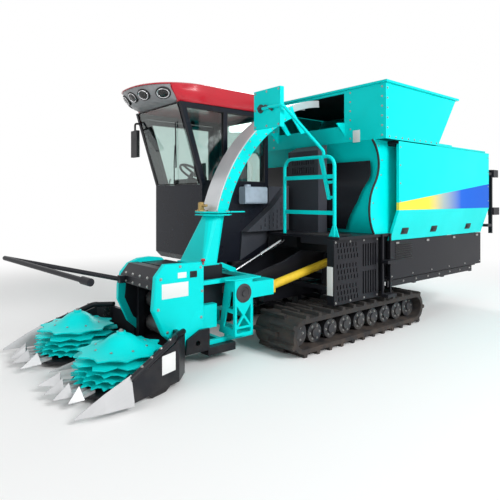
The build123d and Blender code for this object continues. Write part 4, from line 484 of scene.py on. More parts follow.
CYAN_COLOUR: Colour = (0.0005, 0.74, 0.73)
CYAN_SHADE: Colour = (0.0005, 0.69, 0.675)
STRIPED = StripedFinish(
    "Cyan paint with band", Slot.CYAN, CYAN_COLOUR, CYAN_SHADE, roughness=0.34, specular=0.12, dust=0.04
)
FINISHES: tuple[Finish | GlassFinish, ...] = (
    Finish("Cyan gloss paint", Slot.CYAN, CYAN_COLOUR, CYAN_SHADE, roughness=0.34, specular=0.12,
           wear=0.2, dust=0.05, dust_reach=0.4),
    Finish("Satin black paint", Slot.BLACK, (0.009, 0.0095, 0.013), (0.013, 0.0135, 0.018),
           roughness=0.36, wear=0.35, specular=0.2, dust=0.07, dust_reach=0.5),
    Finish("Worn steel", Slot.STEEL, (0.34, 0.34, 0.35), (0.22, 0.22, 0.225), Surface.BRUSHED,
           relief=0.12, roughness=0.38, metallic=0.9, dust=0.2),
    Finish("Wheel enamel", Slot.WHEEL, (0.022, 0.024, 0.03), (0.035, 0.037, 0.043), roughness=0.42,
           wear=0.6, dust=0.3, dust_reach=0.4),
    Finish("Cast iron", Slot.IRON, (0.05, 0.05, 0.056), (0.035, 0.035, 0.04), Surface.CAST, relief=0.3,
           roughness=0.6),
    Finish("Track rubber", Slot.RUBBER, (0.016, 0.016, 0.018), (0.032, 0.029, 0.027), Surface.MOULDED,
           0.5, 0.25, 0.75, edge=0.006, wear=0.6, bare=(0.10, 0.07, 0.055), dust=0.55, dust_reach=0.45,
           dust_colour=(0.13, 0.095, 0.075)),
    Finish("Pale tank plastic", Slot.PALE, (0.40, 0.48, 0.57), (0.34, 0.41, 0.49), Surface.MOULDED, 1.0,
           0.08, 0.4),
    Finish("Cab paint", Slot.CAB, (0.007, 0.0085, 0.014), (0.010, 0.012, 0.019), roughness=0.28,
           wear=0.1, specular=0.16, dust=0.05),
    Finish("Red roof paint", Slot.RED, (0.50, 0.008, 0.022), (0.44, 0.008, 0.02), roughness=0.22,
           coat=0.3, edge=0.012, dust=0.05),
    Finish("Silver sheet", Slot.SILVER, (0.66, 0.68, 0.70), (0.58, 0.60, 0.62), Surface.BRUSHED,
           relief=0.06, roughness=0.34, metallic=0.45, wear=0.15, dust=0.05, dust_reach=0.3),
    Finish("Black plastic", Slot.PLASTIC, (0.012, 0.012, 0.014), (0.018, 0.018, 0.02), Surface.MOULDED,
           1.0, 0.15, 0.5),
    Finish("Cushion cloth", Slot.CLOTH, (0.03, 0.031, 0.038), (0.055, 0.057, 0.066), Surface.WOVEN, 1.0,
           0.5, 0.9, dust=0.0),
    Finish("Yellow guard plastic", Slot.YELLOW, (0.80, 0.56, 0.035), (0.72, 0.48, 0.028),
           Surface.MOULDED, 0.8, 0.06, 0.38, dust=0.12, dust_reach=1.0),
    Finish("Plated rod", Slot.CHROME, (0.72, 0.72, 0.74), (0.64, 0.64, 0.66), Surface.BRUSHED,
           relief=0.02, roughness=0.14, metallic=1.0, dust=0.05),
    GlassFinish("Tinted glass", Slot.GLASS, (0.66, 0.77, 0.74)),
    GlassFinish("Lamp lens", Slot.LENS, (0.95, 0.96, 0.96)),
)
TRIM_FINISHES: tuple[Finish | GlassFinish, ...] = (
    Finish("Zinc bolts", Slot.CHROME, (0.42, 0.42, 0.41), (0.30, 0.30, 0.29), Surface.BRUSHED,
           relief=0.05, roughness=0.34, metallic=0.85, edge=0.001, dust=0.1),
    Finish("Edge rubber", Slot.PLASTIC, (0.009, 0.009, 0.010), (0.014, 0.014, 0.015), Surface.MOULDED,
           1.4, 0.2, 0.62, edge=0.002, dust=0.1),
    Finish("Bare plate", Slot.PALE, (0.82, 0.83, 0.82), (0.76, 0.77, 0.76), relief=0.01, roughness=0.4,
           edge=0.001, dust=0.04),
    # Dark net: near-black, painted shade for the inside of the hopper under the net.
    Finish("Dark net in painted shade", Slot.PLASTIC, (0.006, 0.007, 0.008), (0.016, 0.018, 0.019), Surface.WOVEN, 4.0,
           0.6, 0.85, dust=0.0),
    Finish("Point steel", Slot.SILVER, (0.56, 0.565, 0.575), (0.47, 0.475, 0.485), Surface.BRUSHED,
           relief=0.06, roughness=0.4, metallic=0.15, wear=0.1, dust=0.04, dust_reach=0.2),
    Finish("Guard paint", Slot.BLACK, (0.044, 0.048, 0.060), (0.054, 0.058, 0.070), roughness=0.4,
           wear=0.2, specular=0.2, dust=0.04),
    Finish("Brass fitting", Slot.YELLOW, (0.42, 0.30, 0.12), (0.32, 0.22, 0.08), Surface.CAST,
           relief=0.1, roughness=0.36, metallic=0.7, dust=0.05),
    Finish("Visor grey", Slot.SILVER, (0.27, 0.275, 0.285), (0.23, 0.235, 0.245), Surface.MOULDED, 1.2,
           0.06, 0.42, edge=0.008, dust=0.05),
    Finish("Red lens", Slot.RED, (0.55, 0.01, 0.008), (0.40, 0.008, 0.006), roughness=0.12, coat=0.6,
           edge=0.001, dust=0.03),
    Finish("Amber lens", Slot.YELLOW, (0.85, 0.30, 0.01), (0.70, 0.24, 0.008), roughness=0.12, coat=0.6,
           edge=0.001, dust=0.03),
)
NODE_FINISHES: dict[str, str] = {
    "upper_cover_left": STRIPED.name,
    "upper_cover_right": STRIPED.name,
    "divider_points": "Point steel",
    "side_guard": "Guard paint",
    "bin_lining": "Cyan gloss paint",
    "engine_cover": "Guard paint",
}


@dataclass(frozen=True)
class Dressed:
    """A material with the record's slot that it stands for."""

    material: bpy.types.Material
    slot: Slot


class Paintshop:
    """All materials, made once, and the dressing of solids and pieces."""

    def __init__(self) -> None:
        """Builds the shared effects and the materials."""
        effects = Effects()
        every = (*FINISHES, *TRIM_FINISHES, STRIPED)
        self.by_name = {finish.name: Dressed(finish.material(effects), finish.slot) for finish in every}
        self.by_slot = {finish.slot: finish.name for finish in FINISHES}

    def dressed(self, name: str) -> Dressed:
        """Returns a finish by its name."""
        return self.by_name[name]

    def bolts(self, name: str, body: str, places: Sequence[Point], normal: Point, size: float) -> None:
        """Makes one piece of bolts that share a face's direction."""
        Shape(self).bolts(places, normal, size).piece(name, body, "Zinc bolts")

    def dress_solids(self) -> None:
        """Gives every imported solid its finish: its own one, or that of its slot."""
        for row in frame["record"]["subparts"]:
            node = row["node"]
            finish = NODE_FINISHES.get(node, self.by_slot[Slot(row["material_slot"])])
            mesh = frame["nodes"][node].data
            mesh.materials.clear()
            mesh.materials.append(self.dressed(finish).material)
            LOG.info("solid %s: %s", node, finish)


class Shape:
    """A mesh under way, in machine coordinates, from which one piece is made."""

    def __init__(self, shop: Paintshop) -> None:
        """Starts with nothing, and with the finishes to choose from."""
        self.shop = shop
        self.mesh = bmesh.new()

    def loft(self, rings: Sequence[Sequence[Point]], bevel: float = 0.0, closed: bool = False) -> "Shape":
        """Adds a solid skinned over rings of as many points each.

        Args:
            rings: The rings, in order.
            bevel: How far its sharp edges are cut back.
            closed: Whether the last ring joins the first; otherwise both ends are flat.

        Returns:
            The shape itself, for more.
        """
        part = bmesh.new()
        loops = [[part.verts.new(place) for place in ring] for ring in rings]
        if closed:
            loops.append(loops[0])
        else:
            part.faces.new(loops[0])
            part.faces.new(loops[-1])
        for low, high in zip(loops, loops[1:]):
            for n in range(len(low)):
                part.faces.new((low[n - 1], low[n], high[n], high[n - 1]))
        bmesh.ops.recalc_face_normals(part, faces=part.faces)
        if bevel:
            sharp = [e for e in part.edges if e.is_manifold and e.calc_face_angle() > SHARP]
            bmesh.ops.bevel(part, geom=sharp, offset=bevel, segments=2, profile=0.6, affect="EDGES")
        spare = bpy.data.meshes.new("spare")
        part.to_mesh(spare)
        part.free()
        self.mesh.from_mesh(spare)
        bpy.data.meshes.remove(spare)
        return self

    def prism(self, outline: Sequence[Flat], seat: Matrix, depth: float, bevel: float = 0.002) -> "Shape":
        """Adds a straight prism of an outline drawn on a seat."""
        return self.loft([[seat @ Vector((x, y, z)) for x, y in outline] for z in (0.0, depth)], bevel)

    def box(self, low: Point, high: Point, bevel: float = 0.002) -> "Shape":
        """Adds a block between two corners."""
        (x0, y0, z0), (x1, y1, z1) = low, high
        return self.prism(rectangle(x0, x1, y0, y1), Matrix.Translation((0, 0, z0)), z1 - z0, bevel)

    def lathe(self, profile: Sequence[Flat], seat: Matrix, steps: int = 20) -> "Shape":
        """Adds a turned solid from (radius, height) pairs, closed flat at both ends."""
        return self.loft([[seat @ Vector((x, y, h)) for x, y in circle(r, steps)] for r, h in profile])

    def pipe(self, points: Sequence[Point], radius: float, steps: int = 10, closed: bool = False) -> "Shape":
        """Adds a round bar along points, its ends flat, or closed on itself."""
        path = [Vector(p) for p in points]
        count = len(path)
        rings = []
        for n, at in enumerate(path):
            ahead = path[(n + 1) % count] if closed or n < count - 1 else at
            behind = path[n - 1] if closed or n else at
            run = (ahead - behind).normalized()
            side = run.cross(Vector((0.31, 0.21, 0.93))).normalized()
            up = side.cross(run)
            rings.append([at + side * u + up * v for u, v in circle(radius, steps)])
        return self.loft(rings, closed=closed)

    def bolts(self, places: Sequence[Point], normal: Point, size: float) -> "Shape":
        """Adds hexagon bolts with washers at places on a face."""
        for place in places:
            seat = facing(place, normal)
            self.lathe(((size * 1.5, -0.001), (size * 1.5, size * 0.22)), seat, 16)
            self.lathe(((size, size * 0.2), (size, size * 0.8), (size * 0.82, size)), seat, 6)
        return self

    def piece(self, name: str, body: str | None, finish: str) -> bpy.types.Object:
        """Makes the piece, dresses it and lets it ride on a body.

        Args:
            name: The piece's name.
            body: The body that carries it, or None for a piece on no body.
            finish: The name of its finish.

        Returns:
            The new object.
        """
        mesh = bpy.data.meshes.new(name)
        self.mesh.to_mesh(mesh)
        self.mesh.free()
        return set_piece(mesh, name, body, self.shop.dressed(finish))


def set_piece(mesh: bpy.types.Mesh, name: str, body: str | None, dressed: Dressed) -> bpy.types.Object:
    """Puts a finished mesh on the machine as a piece.

    Args:
        mesh: The mesh, in machine coordinates.
        name: The piece's name.
        body: The body that carries it, or None for a piece on no body.
        dressed: Its material and slot.

    Returns:
        The new object.
    """
    mesh.shade_smooth()
    mesh.set_sharp_from_angle(angle=SHARP)
    mesh.materials.clear()
    mesh.materials.append(dressed.material)
    obj = bpy.data.objects.new(name, mesh)
    bpy.context.scene.collection.objects.link(obj)
    if body:
        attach(obj, body)
    LOG.info("piece %s: %d faces on %s", name, len(mesh.polygons), body)
    return obj


def facing(place: Point, normal: Point) -> Matrix:
    """Returns a seat at a place, its Z along a normal and its Y as upright as can be."""
    z = Vector(normal).normalized()
    up = Vector(UP if abs(z.z) < 0.95 else FORWARD)
    x = up.cross(z).normalized()
    return Matrix.Translation(place) @ Matrix((x, z.cross(x), z)).transposed().to_4x4()


def spread(low: float, high: float, count: int) -> list[float]:
    """Returns evenly spaced values from low to high."""
    return [low + (high - low) * n / (count - 1) for n in range(count)]


def circle(radius: float, count: int, start: float = 0.0) -> list[Flat]:
    """Returns evenly spaced points round a circle, the first at an angle."""
    turns = [start + 2 * math.pi * n / count for n in range(count)]
    return [(radius * math.cos(t), radius * math.sin(t)) for t in turns]


def rectangle(x0: float, x1: float, y0: float, y1: float) -> tuple[Flat, ...]:
    """Returns a rectangle's corners in order."""
    return ((x0, y0), (x1, y0), (x1, y1), (x0, y1))


def arc(start: Flat, middle: Flat, end: Flat, count: int) -> list[Flat]:
    """Returns points on the circle through three points, from start to end."""
    (ax, ay), (bx, by), (cx, cy) = start, middle, end
    d = 2 * (ax * (by - cy) + bx * (cy - ay) + cx * (ay - by))
    a, b, c = ax * ax + ay * ay, bx * bx + by * by, cx * cx + cy * cy
    ux = (a * (by - cy) + b * (cy - ay) + c * (ay - by)) / d
    uy = (a * (cx - bx) + b * (ax - cx) + c * (bx - ax)) / d
    radius = math.hypot(ax - ux, ay - uy)
    turns = [math.atan2(y - uy, x - ux) for x, y in (start, middle, end)]
    sweep = (turns[2] - turns[0] + math.pi) % (2 * math.pi) - math.pi
    steps = [turns[0] + sweep * s for s in spread(0.0, 1.0, count)]
    return [(ux + radius * math.cos(t), uy + radius * math.sin(t)) for t in steps]


@dataclass
class Header:
    """Two rotors, the pan with its walls, and their fasteners and bare plate."""

    middle: float = 0.025
    rotor_x: float = 2.6
    rotor_offset: float = 0.49
    rotor_share: float = 0.875
    wall_front: float = 2.745
    wall_length: float = 0.49
    wall_half: float = 0.99
    wall_side: float = 0.8
    wall_foot: float = 0.15
    drop: float = 0.064
    rear_drop: float = 0.041
    toe_in: float = 0.155
    rail_in: float = 0.012
    rail_shares: tuple[float, ...] = (0.2, 0.4, 0.6, 0.8)
    plate: Span = (2.30, 2.45, 0.15, 0.30)
    plate_depth: float = 0.002
    flare_r: float = 0.214
    flare_z: float = 0.324
    flare_bolts: int = 8
    boss_z: float = 0.44

    def build(self, shop: Paintshop) -> None:
        """Builds the header's pieces."""
        for side in Side:
            self._rotor(shop, side)
        self._rail_bolts(shop, self._pan(shop))
        seat = facing((0.0, self._wall_y(0.0) + PLATE_SINK, 0.0), LEFT) @ MIRROR_X
        plate = Shape(shop).prism(rectangle(*self.plate), seat, self.plate_depth)
        self._lean(plate)
        plate.piece("header_wall_plate", "header", "Bare plate")

    def _rail_bolts(self, shop: Paintshop, pan: BVHTree) -> None:
        """Builds the bolts along both rails, each set down on the pan from above."""
        bolts = Shape(shop)
        for share in self.rail_shares:
            for side in Side:
                y = self.middle + side.value * (self._wall_y(share) - self.middle - self.rail_in)
                above = Vector((self.wall_front - self.wall_length * share, y, 1.0))
                place, normal, _, _ = pan.ray_cast(above, -Vector(UP))
                if place and place.z > self.wall_foot:
                    bolts.bolts([place], normal, 0.008)
        bolts.piece("rail_bolts", "header", "Zinc bolts")

    def _lean(self, shape: Shape) -> None:
        """Leans a piece on the left wall, which toes in towards the rear."""
        for vert in shape.mesh.verts:
            share = (self.wall_front - vert.co.x) / self.wall_length
            vert.co.y -= self.toe_in * share

    def _wall_y(self, share: float) -> float:
        """Returns the left wall's outer face at a share of its length from the front."""
        return self.middle + self.wall_half - self.toe_in * share

    def _rotor(self, shop: Paintshop, side: Side) -> None:
        """Builds one rotor a little inside its running circle, with bolts round its dome."""
        name = f"rotor_{side.name.lower()}"
        x, y = self.rotor_x, self.middle + side.value * self.rotor_offset
        mesh = frame["nodes"][name].data.copy()
        for vert in mesh.vertices:
            vert.co.x = x + (vert.co.x - x) * self.rotor_share
            vert.co.y = y + (vert.co.y - y) * self.rotor_share
        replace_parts(set_piece(mesh, f"{name}_plates", name, shop.dressed("Cyan gloss paint")), name)
        ring = [(x + u, y + v, self.flare_z) for u, v in circle(self.flare_r, self.flare_bolts)]
        shape = Shape(shop).bolts(ring, UP, 0.008)
        shape.bolts([(x, y, self.boss_z)], UP, 0.016)
        shape.piece(f"{name}_bolts", name, "Zinc bolts")

    def _pan(self, shop: Paintshop) -> BVHTree:
        """Builds the pan with its walls toed in and lowered, most at the rear.

        Args:
            shop: The finishes.

        Returns:
            The pan's faces, to set other pieces down on.
        """
        mesh = frame["nodes"]["header_pan"].data.copy()
        for vert in mesh.vertices:
            share = min(max((self.wall_front - vert.co.x) / self.wall_length, 0.0), 1.0)
            off = vert.co.y - self.middle
            if abs(off) > self.wall_side:
                vert.co.y -= math.copysign(self.toe_in * share, off)
            if vert.co.z > self.wall_foot:
                vert.co.z -= self.drop + self.rear_drop * share
        obj = set_piece(mesh, "header_pan_sheet", "header", shop.dressed("Satin black paint"))
        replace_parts(obj, "header_pan")
        places = [vert.co.copy() for vert in mesh.vertices]
        return BVHTree.FromPolygons(places, [list(face.vertices) for face in mesh.polygons])


@dataclass
class Chopper:
    """Cover bolts, bare plates, a small grille, two sheets and the red knob by the duct."""

    left_y: float = 0.558
    right_y: float = -0.198
    right_top: float = 0.9
    bolt_places: tuple[Flat, ...] = (
        (1.84, 0.90), (2.06, 0.925), (2.255, 0.83), (2.28, 0.57), (2.19, 0.36),
        (2.03, 0.20), (1.95, 0.20), (1.835, 0.44), (1.825, 0.68),
    )
    bolt_size: float = 0.009
    hood_x: float = 2.30
    hood_ys: tuple[float, ...] = (-0.02, 0.12, 0.26, 0.40)
    hood_zs: Flat = (0.75, 0.83)
    plates: tuple[Span, ...] = ((1.975, 2.245, 0.655, 0.785), (1.995, 2.085, 0.822, 0.872))
    grille: Span = (1.882, 1.958, 0.815, 0.873)
    grille_rim: float = 0.006
    grille_slats: int = 5
    knob: Point = (1.700, 0.392, 0.892)
    knob_profile: tuple[Flat, ...] = (
        (0.008, 0.0), (0.008, 0.03), (0.020, 0.036), (0.022, 0.048), (0.016, 0.058), (0.004, 0.061),
    )
    foot: tuple[Flat, ...] = ((1.815, 0.50), (1.82, 0.275), (1.99, 0.275), (2.0, 0.31), (1.90, 0.50))
    foot_depth: float = 0.03
    lining: tuple[Flat, ...] = ((2.0, 0.25), (2.17, 0.37), (2.26, 0.57), (2.235, 0.82), (2.0, 0.86))
    lining_in: float = 0.068
    lining_depth: float = 0.012

    def build(self, shop: Paintshop) -> None:
        """Builds the chopper's pieces."""
        left = [(x, self.left_y, z) for x, z in self.bolt_places]
        right = [(x, self.right_y, z) for x, z in self.bolt_places if z < self.right_top]
        hood = [(self.hood_x, y, z) for y in self.hood_ys for z in self.hood_zs]
        bolts = Shape(shop)
        for places, normal in ((left, LEFT), (right, RIGHT), (hood, FORWARD)):
            bolts.bolts(places, normal, self.bolt_size)
        bolts.piece("chopper_bolts", "header", "Zinc bolts")
        seat = Matrix.Translation((0.0, self.left_y + PLATE_SINK, 0.0)) @ ON_SIDE
        Shape(shop).prism(self.foot, seat, self.foot_depth).piece("cover_foot", "header", "Cyan gloss paint")
        seat = Matrix.Translation((0.0, self.right_y + self.lining_in, 0.0)) @ ON_SIDE
        lining = Shape(shop).prism(self.lining, seat, self.lining_depth)
        lining.piece("throat_lining", "header", "Satin black paint")
        low, high = self.left_y - PLATE_SINK, self.left_y + PLATE_RISE
        sheet = Shape(shop)
        for x0, x1, z0, z1 in self.plates:
            sheet.box((x0, low, z0), (x1, high, z1), PLATE_BEVEL)
        sheet.piece("chopper_plates", "header", "Bare plate")
        self._grille(shop, low)
        knob = Shape(shop).lathe(self.knob_profile, Matrix.Translation(self.knob))
        knob.piece("duct_knob", "header", "Red roof paint")

    def _grille(self, shop: Paintshop, low: float) -> None:
        """Builds the small grille: a back plate and its slats."""
        x0, x1, z0, z1 = self.grille
        slats = Shape(shop).box((x0, low, z0), (x1, self.left_y + 0.003, z1), 0.001)
        x0, x1 = x0 + self.grille_rim, x1 - self.grille_rim
        for z in spread(z0 + 0.008, z1 - 0.012, self.grille_slats):
            slats.box((x0, self.left_y, z), (x1, self.left_y + 0.008, z + 0.004), 0.001)
        slats.piece("chopper_grille", "header", "Black plastic")


@dataclass
class Spout:
    """Bolts of the spout, slew flange and guide plate, the gear disc, strut, motor and lever."""

    centre: Flat = (-0.252, 0.949)
    radii: Flat = (1.664, 1.752)
    turn: Flat = (19.0, 67.0)
    row_bolts: int = 13
    faces: tuple[tuple[float, Point], ...] = ((0.300, LEFT), (0.050, RIGHT))
    flange: Point = (1.42, 0.175, 1.40)
    flange_r: float = 0.160
    flange_bolts: int = 8
    guide_x: float = 1.067
    guide_y: Flat = (0.43, 0.78)
    guide_z: Flat = (2.27, 2.62)
    disc: Point = (1.405, 0.650, 0.620)
    disc_profile: tuple[Flat, ...] = (
        (0.091, 0.0), (0.091, 0.008), (0.085, 0.012), (0.060, 0.012),
        (0.055, 0.006), (0.03, 0.006), (0.026, 0.02),
    )
    strut_ends: tuple[Point, Point] = ((1.133, 0.187, 0.763), (0.430, 0.187, 1.047))
    strut_r: float = 0.024
    rod_share: float = 0.6
    motor: Point = (1.535, 0.115, 1.400)
    motor_profile: tuple[Flat, ...] = (
        (0.040, 0.0), (0.040, 0.02), (0.032, 0.022), (0.032, 0.085), (0.024, 0.095), (0.010, 0.097),
    )
    lever: Point = (1.067, 0.520, 2.455)
    pivot_profile: tuple[Flat, ...] = (
        (0.045, 0.0), (0.045, 0.010), (0.022, 0.012), (0.022, 0.035), (0.016, 0.040),
    )
    lever_path: tuple[Point, ...] = ((0.02, 0.0, 0.0), (0.02, 0.09, 0.02), (0.02, 0.19, -0.04))

    def build(self, shop: Paintshop) -> None:
        """Builds the spout's pieces."""
        shape = Shape(shop)
        cx, cz = self.centre
        turns = [math.radians(t) for t in spread(*self.turn, self.row_bolts)]
        for y, out in self.faces:
            for radius in self.radii:
                row = [(cx + radius * math.cos(t), y, cz + radius * math.sin(t)) for t in turns]
                shape.bolts(row, out, 0.007)
        x, y, z = self.flange
        ring = circle(self.flange_r, self.flange_bolts, math.pi / self.flange_bolts)
        shape.bolts([(x + u, y + v, z) for u, v in ring], UP, 0.010)
        shape.piece("spout_bolts", "header", "Zinc bolts")
        corners = [(self.guide_x, y, z) for y in spread(*self.guide_y, 3) for z in spread(*self.guide_z, 3)]
        shop.bolts("guide_bolts", "chassis", corners, FORWARD, 0.008)
        disc = Shape(shop).lathe(self.disc_profile, facing(self.disc, LEFT), 32)
        disc.piece("gear_disc", "header", "Cast iron")
        self._strut(shop)
        self._slew(shop)

    def _slew(self, shop: Paintshop) -> None:
        """Builds the slew motor on the flange, and the pivot and lever on the guide plate."""
        x, y, z = self.motor
        motor = Shape(shop).lathe(self.motor_profile, Matrix.Translation(self.motor))
        motor.box((x - 0.05, y - 0.05, z - 0.001), (x + 0.04, y + 0.05, z + 0.012))
        motor.pipe([(x, y + 0.02, z + 0.06), (x, y + 0.10, z + 0.06)], 0.014, 12)
        motor.piece("slew_motor", "header", "Brass fitting")
        x, y, z = self.lever
        pivot = Shape(shop).lathe(self.pivot_profile, facing(self.lever, FORWARD))
        pivot.pipe([(x + u, y + v, z + w) for u, v, w in self.lever_path], 0.010)
        pivot.piece("guide_pivot", "chassis", "Cast iron")

    def _strut(self, shop: Paintshop) -> None:
        """Builds the gas strut from the lever to the deck at one fixed length, on no body, though the lift
        stretches the real one.
        """
        low, high = (Vector(end) for end in self.strut_ends)
        seat = facing(tuple(low), tuple(high - low))
        length = (high - low).length
        thin, thick = self.strut_r * self.rod_share, self.strut_r
        half = length * 0.5
        stations = spread(0.0, half, 5)[:-1] + [half, half + 0.004] + spread(half + 0.06, length, 5)
        profile = [(thin if h <= half else thick, h) for h in stations]
        obj = Shape(shop).lathe(profile, seat, 16).piece("lift_strut", None, "Plated rod")
        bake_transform(obj)


@dataclass
class Hopper:
    """Rows of bolts, a bare plate and the dark net stretched under the rim, whose near-black colour is
    painted shade for the hopper's inside.
    """

    front_x: float = -0.215
    side_y: float = 1.150
    foot_z: float = 2.225
    foot_x: Flat = (-0.28, -1.30)
    post_x: float = -0.245
    post_z: Flat = (2.32, 2.76)
    front_ys: Flat = (0.66, 1.10)
    front_z: Flat = (2.24, 2.78)
    plate: Span = (0.70, 0.80, 2.19, 2.33)
    net: tuple[Flat, Flat] = ((-1.785, -0.240), (-1.125, 1.125))
    net_z: float = 2.832
    net_sag: float = 0.03
    net_cells: int = 24

    def build(self, shop: Paintshop) -> None:
        """Builds the hopper's pieces."""
        shape = Shape(shop)
        for side in Side:
            y = side.value * self.side_y
            row = [(x, y, self.foot_z) for x in spread(*self.foot_x, 9)]
            post = [(self.post_x, y, z) for z in spread(*self.post_z, 5)]
            shape.bolts(row + post, side.out, 0.008)
            for across in self.front_ys:
                front = [(self.front_x, side.value * across, z) for z in spread(*self.front_z, 6)]
                shape.bolts(front, FORWARD, 0.008)
        shape.piece("hopper_bolts", "chassis", "Zinc bolts")
        y0, y1, z0, z1 = self.plate
        low, high = self.front_x - PLATE_SINK, self.front_x + PLATE_RISE
        plate = Shape(shop).box((low, y0, z0), (high, y1, z1), PLATE_BEVEL)
        plate.piece("hopper_plate", "chassis", "Bare plate")
        self._net(shop)

    def _net(self, shop: Paintshop) -> None:
        """Builds the stretched net, with a little sag in its middle. Its near-black colour is painted shade
        over the hopper's dark inside, and the net also blocks light from it.
        """
        (x0, x1), (y0, y1) = self.net
        shape = Shape(shop)
        shares = spread(0.0, 1.0, self.net_cells + 1)
        waves = [math.sin(math.pi * share) for share in shares]
        rows = []
        for u, deep in zip(shares, waves):
            x, sag = x0 + (x1 - x0) * u, self.net_sag * deep
            row = [(x, y0 + (y1 - y0) * v, self.net_z - sag * wave) for v, wave in zip(shares, waves)]
            rows.append([shape.mesh.verts.new(place) for place in row])
        for low, high in zip(rows, rows[1:]):
            for n in range(self.net_cells):
                shape.mesh.faces.new((low[n], high[n], high[n + 1], low[n + 1]))
        # The net's near-black colour is painted shade for the hopper's inside.
        obj = shape.piece("hopper_shade_net", "chassis", "Dark net in painted shade")


@dataclass
class BalerBox:
    """Rubber edge trim, front panel, latches, louvres, bolts and rear lamp lenses."""

    s_points: tuple[Flat, ...] = (
        (-0.180, 2.196), (-0.302, 1.880), (-0.217, 1.690), (-0.132, 1.490), (-0.207, 1.134),
    )
    panel_edge: tuple[Flat, ...] = ((1.17, 0.62), (1.50, 0.83), (1.78, 0.90), (1.975, 0.88))
    panel_sheet: Flat = (0.001, 0.010)
    side_y: float = 0.995
    bolt_y: float = 1.005
    bolt_in: float = 0.05
    trim_r: float = 0.013
    latch_xs: tuple[float, ...] = (-0.72, -1.385, -2.31)
    latch_base: Span = (-0.07, 0.07, -0.04, 0.04)
    latch_grip: Span = (-0.05, 0.05, -0.018, 0.012)
    slope: Flat = (0.947, -0.320)
    latch_z: float = 1.15
    latch_y: float = 1.0655
    catch_x: Flat = (-0.62, -2.66)
    catch_z: Flat = (0.995, 1.022)
    catch_half: float = 0.03
    catch_depth: float = 0.010
    upper_y: float = 1.150
    upper_xs: Flat = (-0.50, -2.76)
    upper_z: Flat = (1.50, 2.12)
    lower_y: float = 1.030
    lower_x: Flat = (-0.51, -2.75)
    lower_z: float = 0.625
    louvres: Span = (-0.93, -0.58, 0.82, 1.00)
    louvre_lip: Flat = (-0.002, 0.012)
    louvre_tilt: float = -0.5
    skirt: Flat = (0.997, 0.54)
    skirt_x: Flat = (-0.52, -2.50)
    lens_faces: tuple[Flat, ...] = ((-3.195, 1.345), (-3.155, 1.905))
    lens_y: float = 1.085
    lens: Span = (-0.037, 0.037, -0.048, 0.048)
    rib_half: Flat = (0.033, 0.003)
    rib_reach: float = 0.036

    def build(self, shop: Paintshop) -> None:
        """Builds the box's pieces."""
        a, b, c, d, e = self.s_points
        edge = arc(a, b, c, 14) + arc(c, d, e, 14)[1:]
        trim = Shape(shop)
        bolts = Shape(shop)
        for side in Side:
            trim.pipe([(x, side.value * self.side_y, z) for x, z in edge], self.trim_r)
            inner = [(x - self.bolt_in, side.value * self.bolt_y, z) for x, z in edge[2:-2:4]]
            bolts.bolts(inner, side.out, 0.007)
        trim.piece("bin_edge_trim", "chassis", "Edge rubber")
        bolts.piece("bin_side_bolts", "chassis", "Zinc bolts")
        self._front_panel(shop, edge)
        for side in Side:
            self._covers(shop, side)
        self._skirts(shop)
        self._lenses(shop)

    def _front_panel(self, shop: Paintshop, edge: Sequence[Flat]) -> None:
        """Builds the black panel on the bin's curved front, its left edge cut aslant."""
        back, front = self.panel_sheet
        rings = []
        for x, z in edge:
            for (z0, y0), (z1, y1) in zip(self.panel_edge, self.panel_edge[1:]):
                if z0 <= z <= z1:
                    y = y0 + (y1 - y0) * (z - z0) / (z1 - z0)
                    near, far = x + back, x + front
                    rings.append([(near, -y, z), (far, -y, z), (far, y, z), (near, y, z)])
        Shape(shop).loft(rings).piece("bin_front_panel", "chassis", "Satin black paint")

    def _covers(self, shop: Paintshop, side: Side) -> None:
        """Builds the latches, catches, louvres and bolts of one side's covers."""
        hand, name = side.value, side.name.lower()
        upper, lower = f"upper_cover_{name}", f"lower_cover_{name}"
        latches = Shape(shop)
        normal = (0.0, hand * self.slope[0], self.slope[1])
        for x in self.latch_xs:
            seat = facing((x, hand * self.latch_y, self.latch_z), normal)
            latches.prism(rectangle(*self.latch_base), seat, 0.006, 0.003)
            latches.prism(rectangle(*self.latch_grip), seat, 0.018, 0.005)
        latches.piece(f"upper_latches_{name}", upper, "Black plastic")
        face = hand * self.lower_y
        near, far = sorted((face, face + hand * self.catch_depth))
        catches = Shape(shop)
        low, high = self.catch_z
        for x in spread(*self.catch_x, 4):
            catches.box((x - self.catch_half, near, low), (x + self.catch_half, far, high), 0.003)
        catches.piece(f"lower_catches_{name}", lower, "Zinc bolts")
        x0, x1, z0, z1 = self.louvres
        lip = rectangle(x0, x1, *sorted(hand * reach for reach in self.louvre_lip))
        slats = Shape(shop)
        for z in spread(z0, z1, 8):
            tilt = Matrix.Translation((0.0, face, z)) @ Matrix.Rotation(hand * self.louvre_tilt, 4, "X")
            slats.prism(lip, tilt, 0.006, 0.001)
        slats.piece(f"lower_louvres_{name}", lower, "Black plastic")
        edge = [(x, hand * self.upper_y, z) for x in self.upper_xs for z in spread(*self.upper_z, 4)]
        shop.bolts(f"upper_bolts_{name}", upper, edge, side.out, 0.007)
        foot = [(x, face, self.lower_z) for x in spread(*self.lower_x, 6)]
        shop.bolts(f"lower_bolts_{name}", lower, foot, side.out, 0.007)

    def _skirts(self, shop: Paintshop) -> None:
        """Builds the skirts' bolts."""
        shape = Shape(shop)
        y, z = self.skirt
        for side in Side:
            shape.bolts([(x, side.value * y, z) for x in spread(*self.skirt_x, 8)], side.out, 0.009)
        shape.piece("skirt_bolts", "chassis", "Zinc bolts")

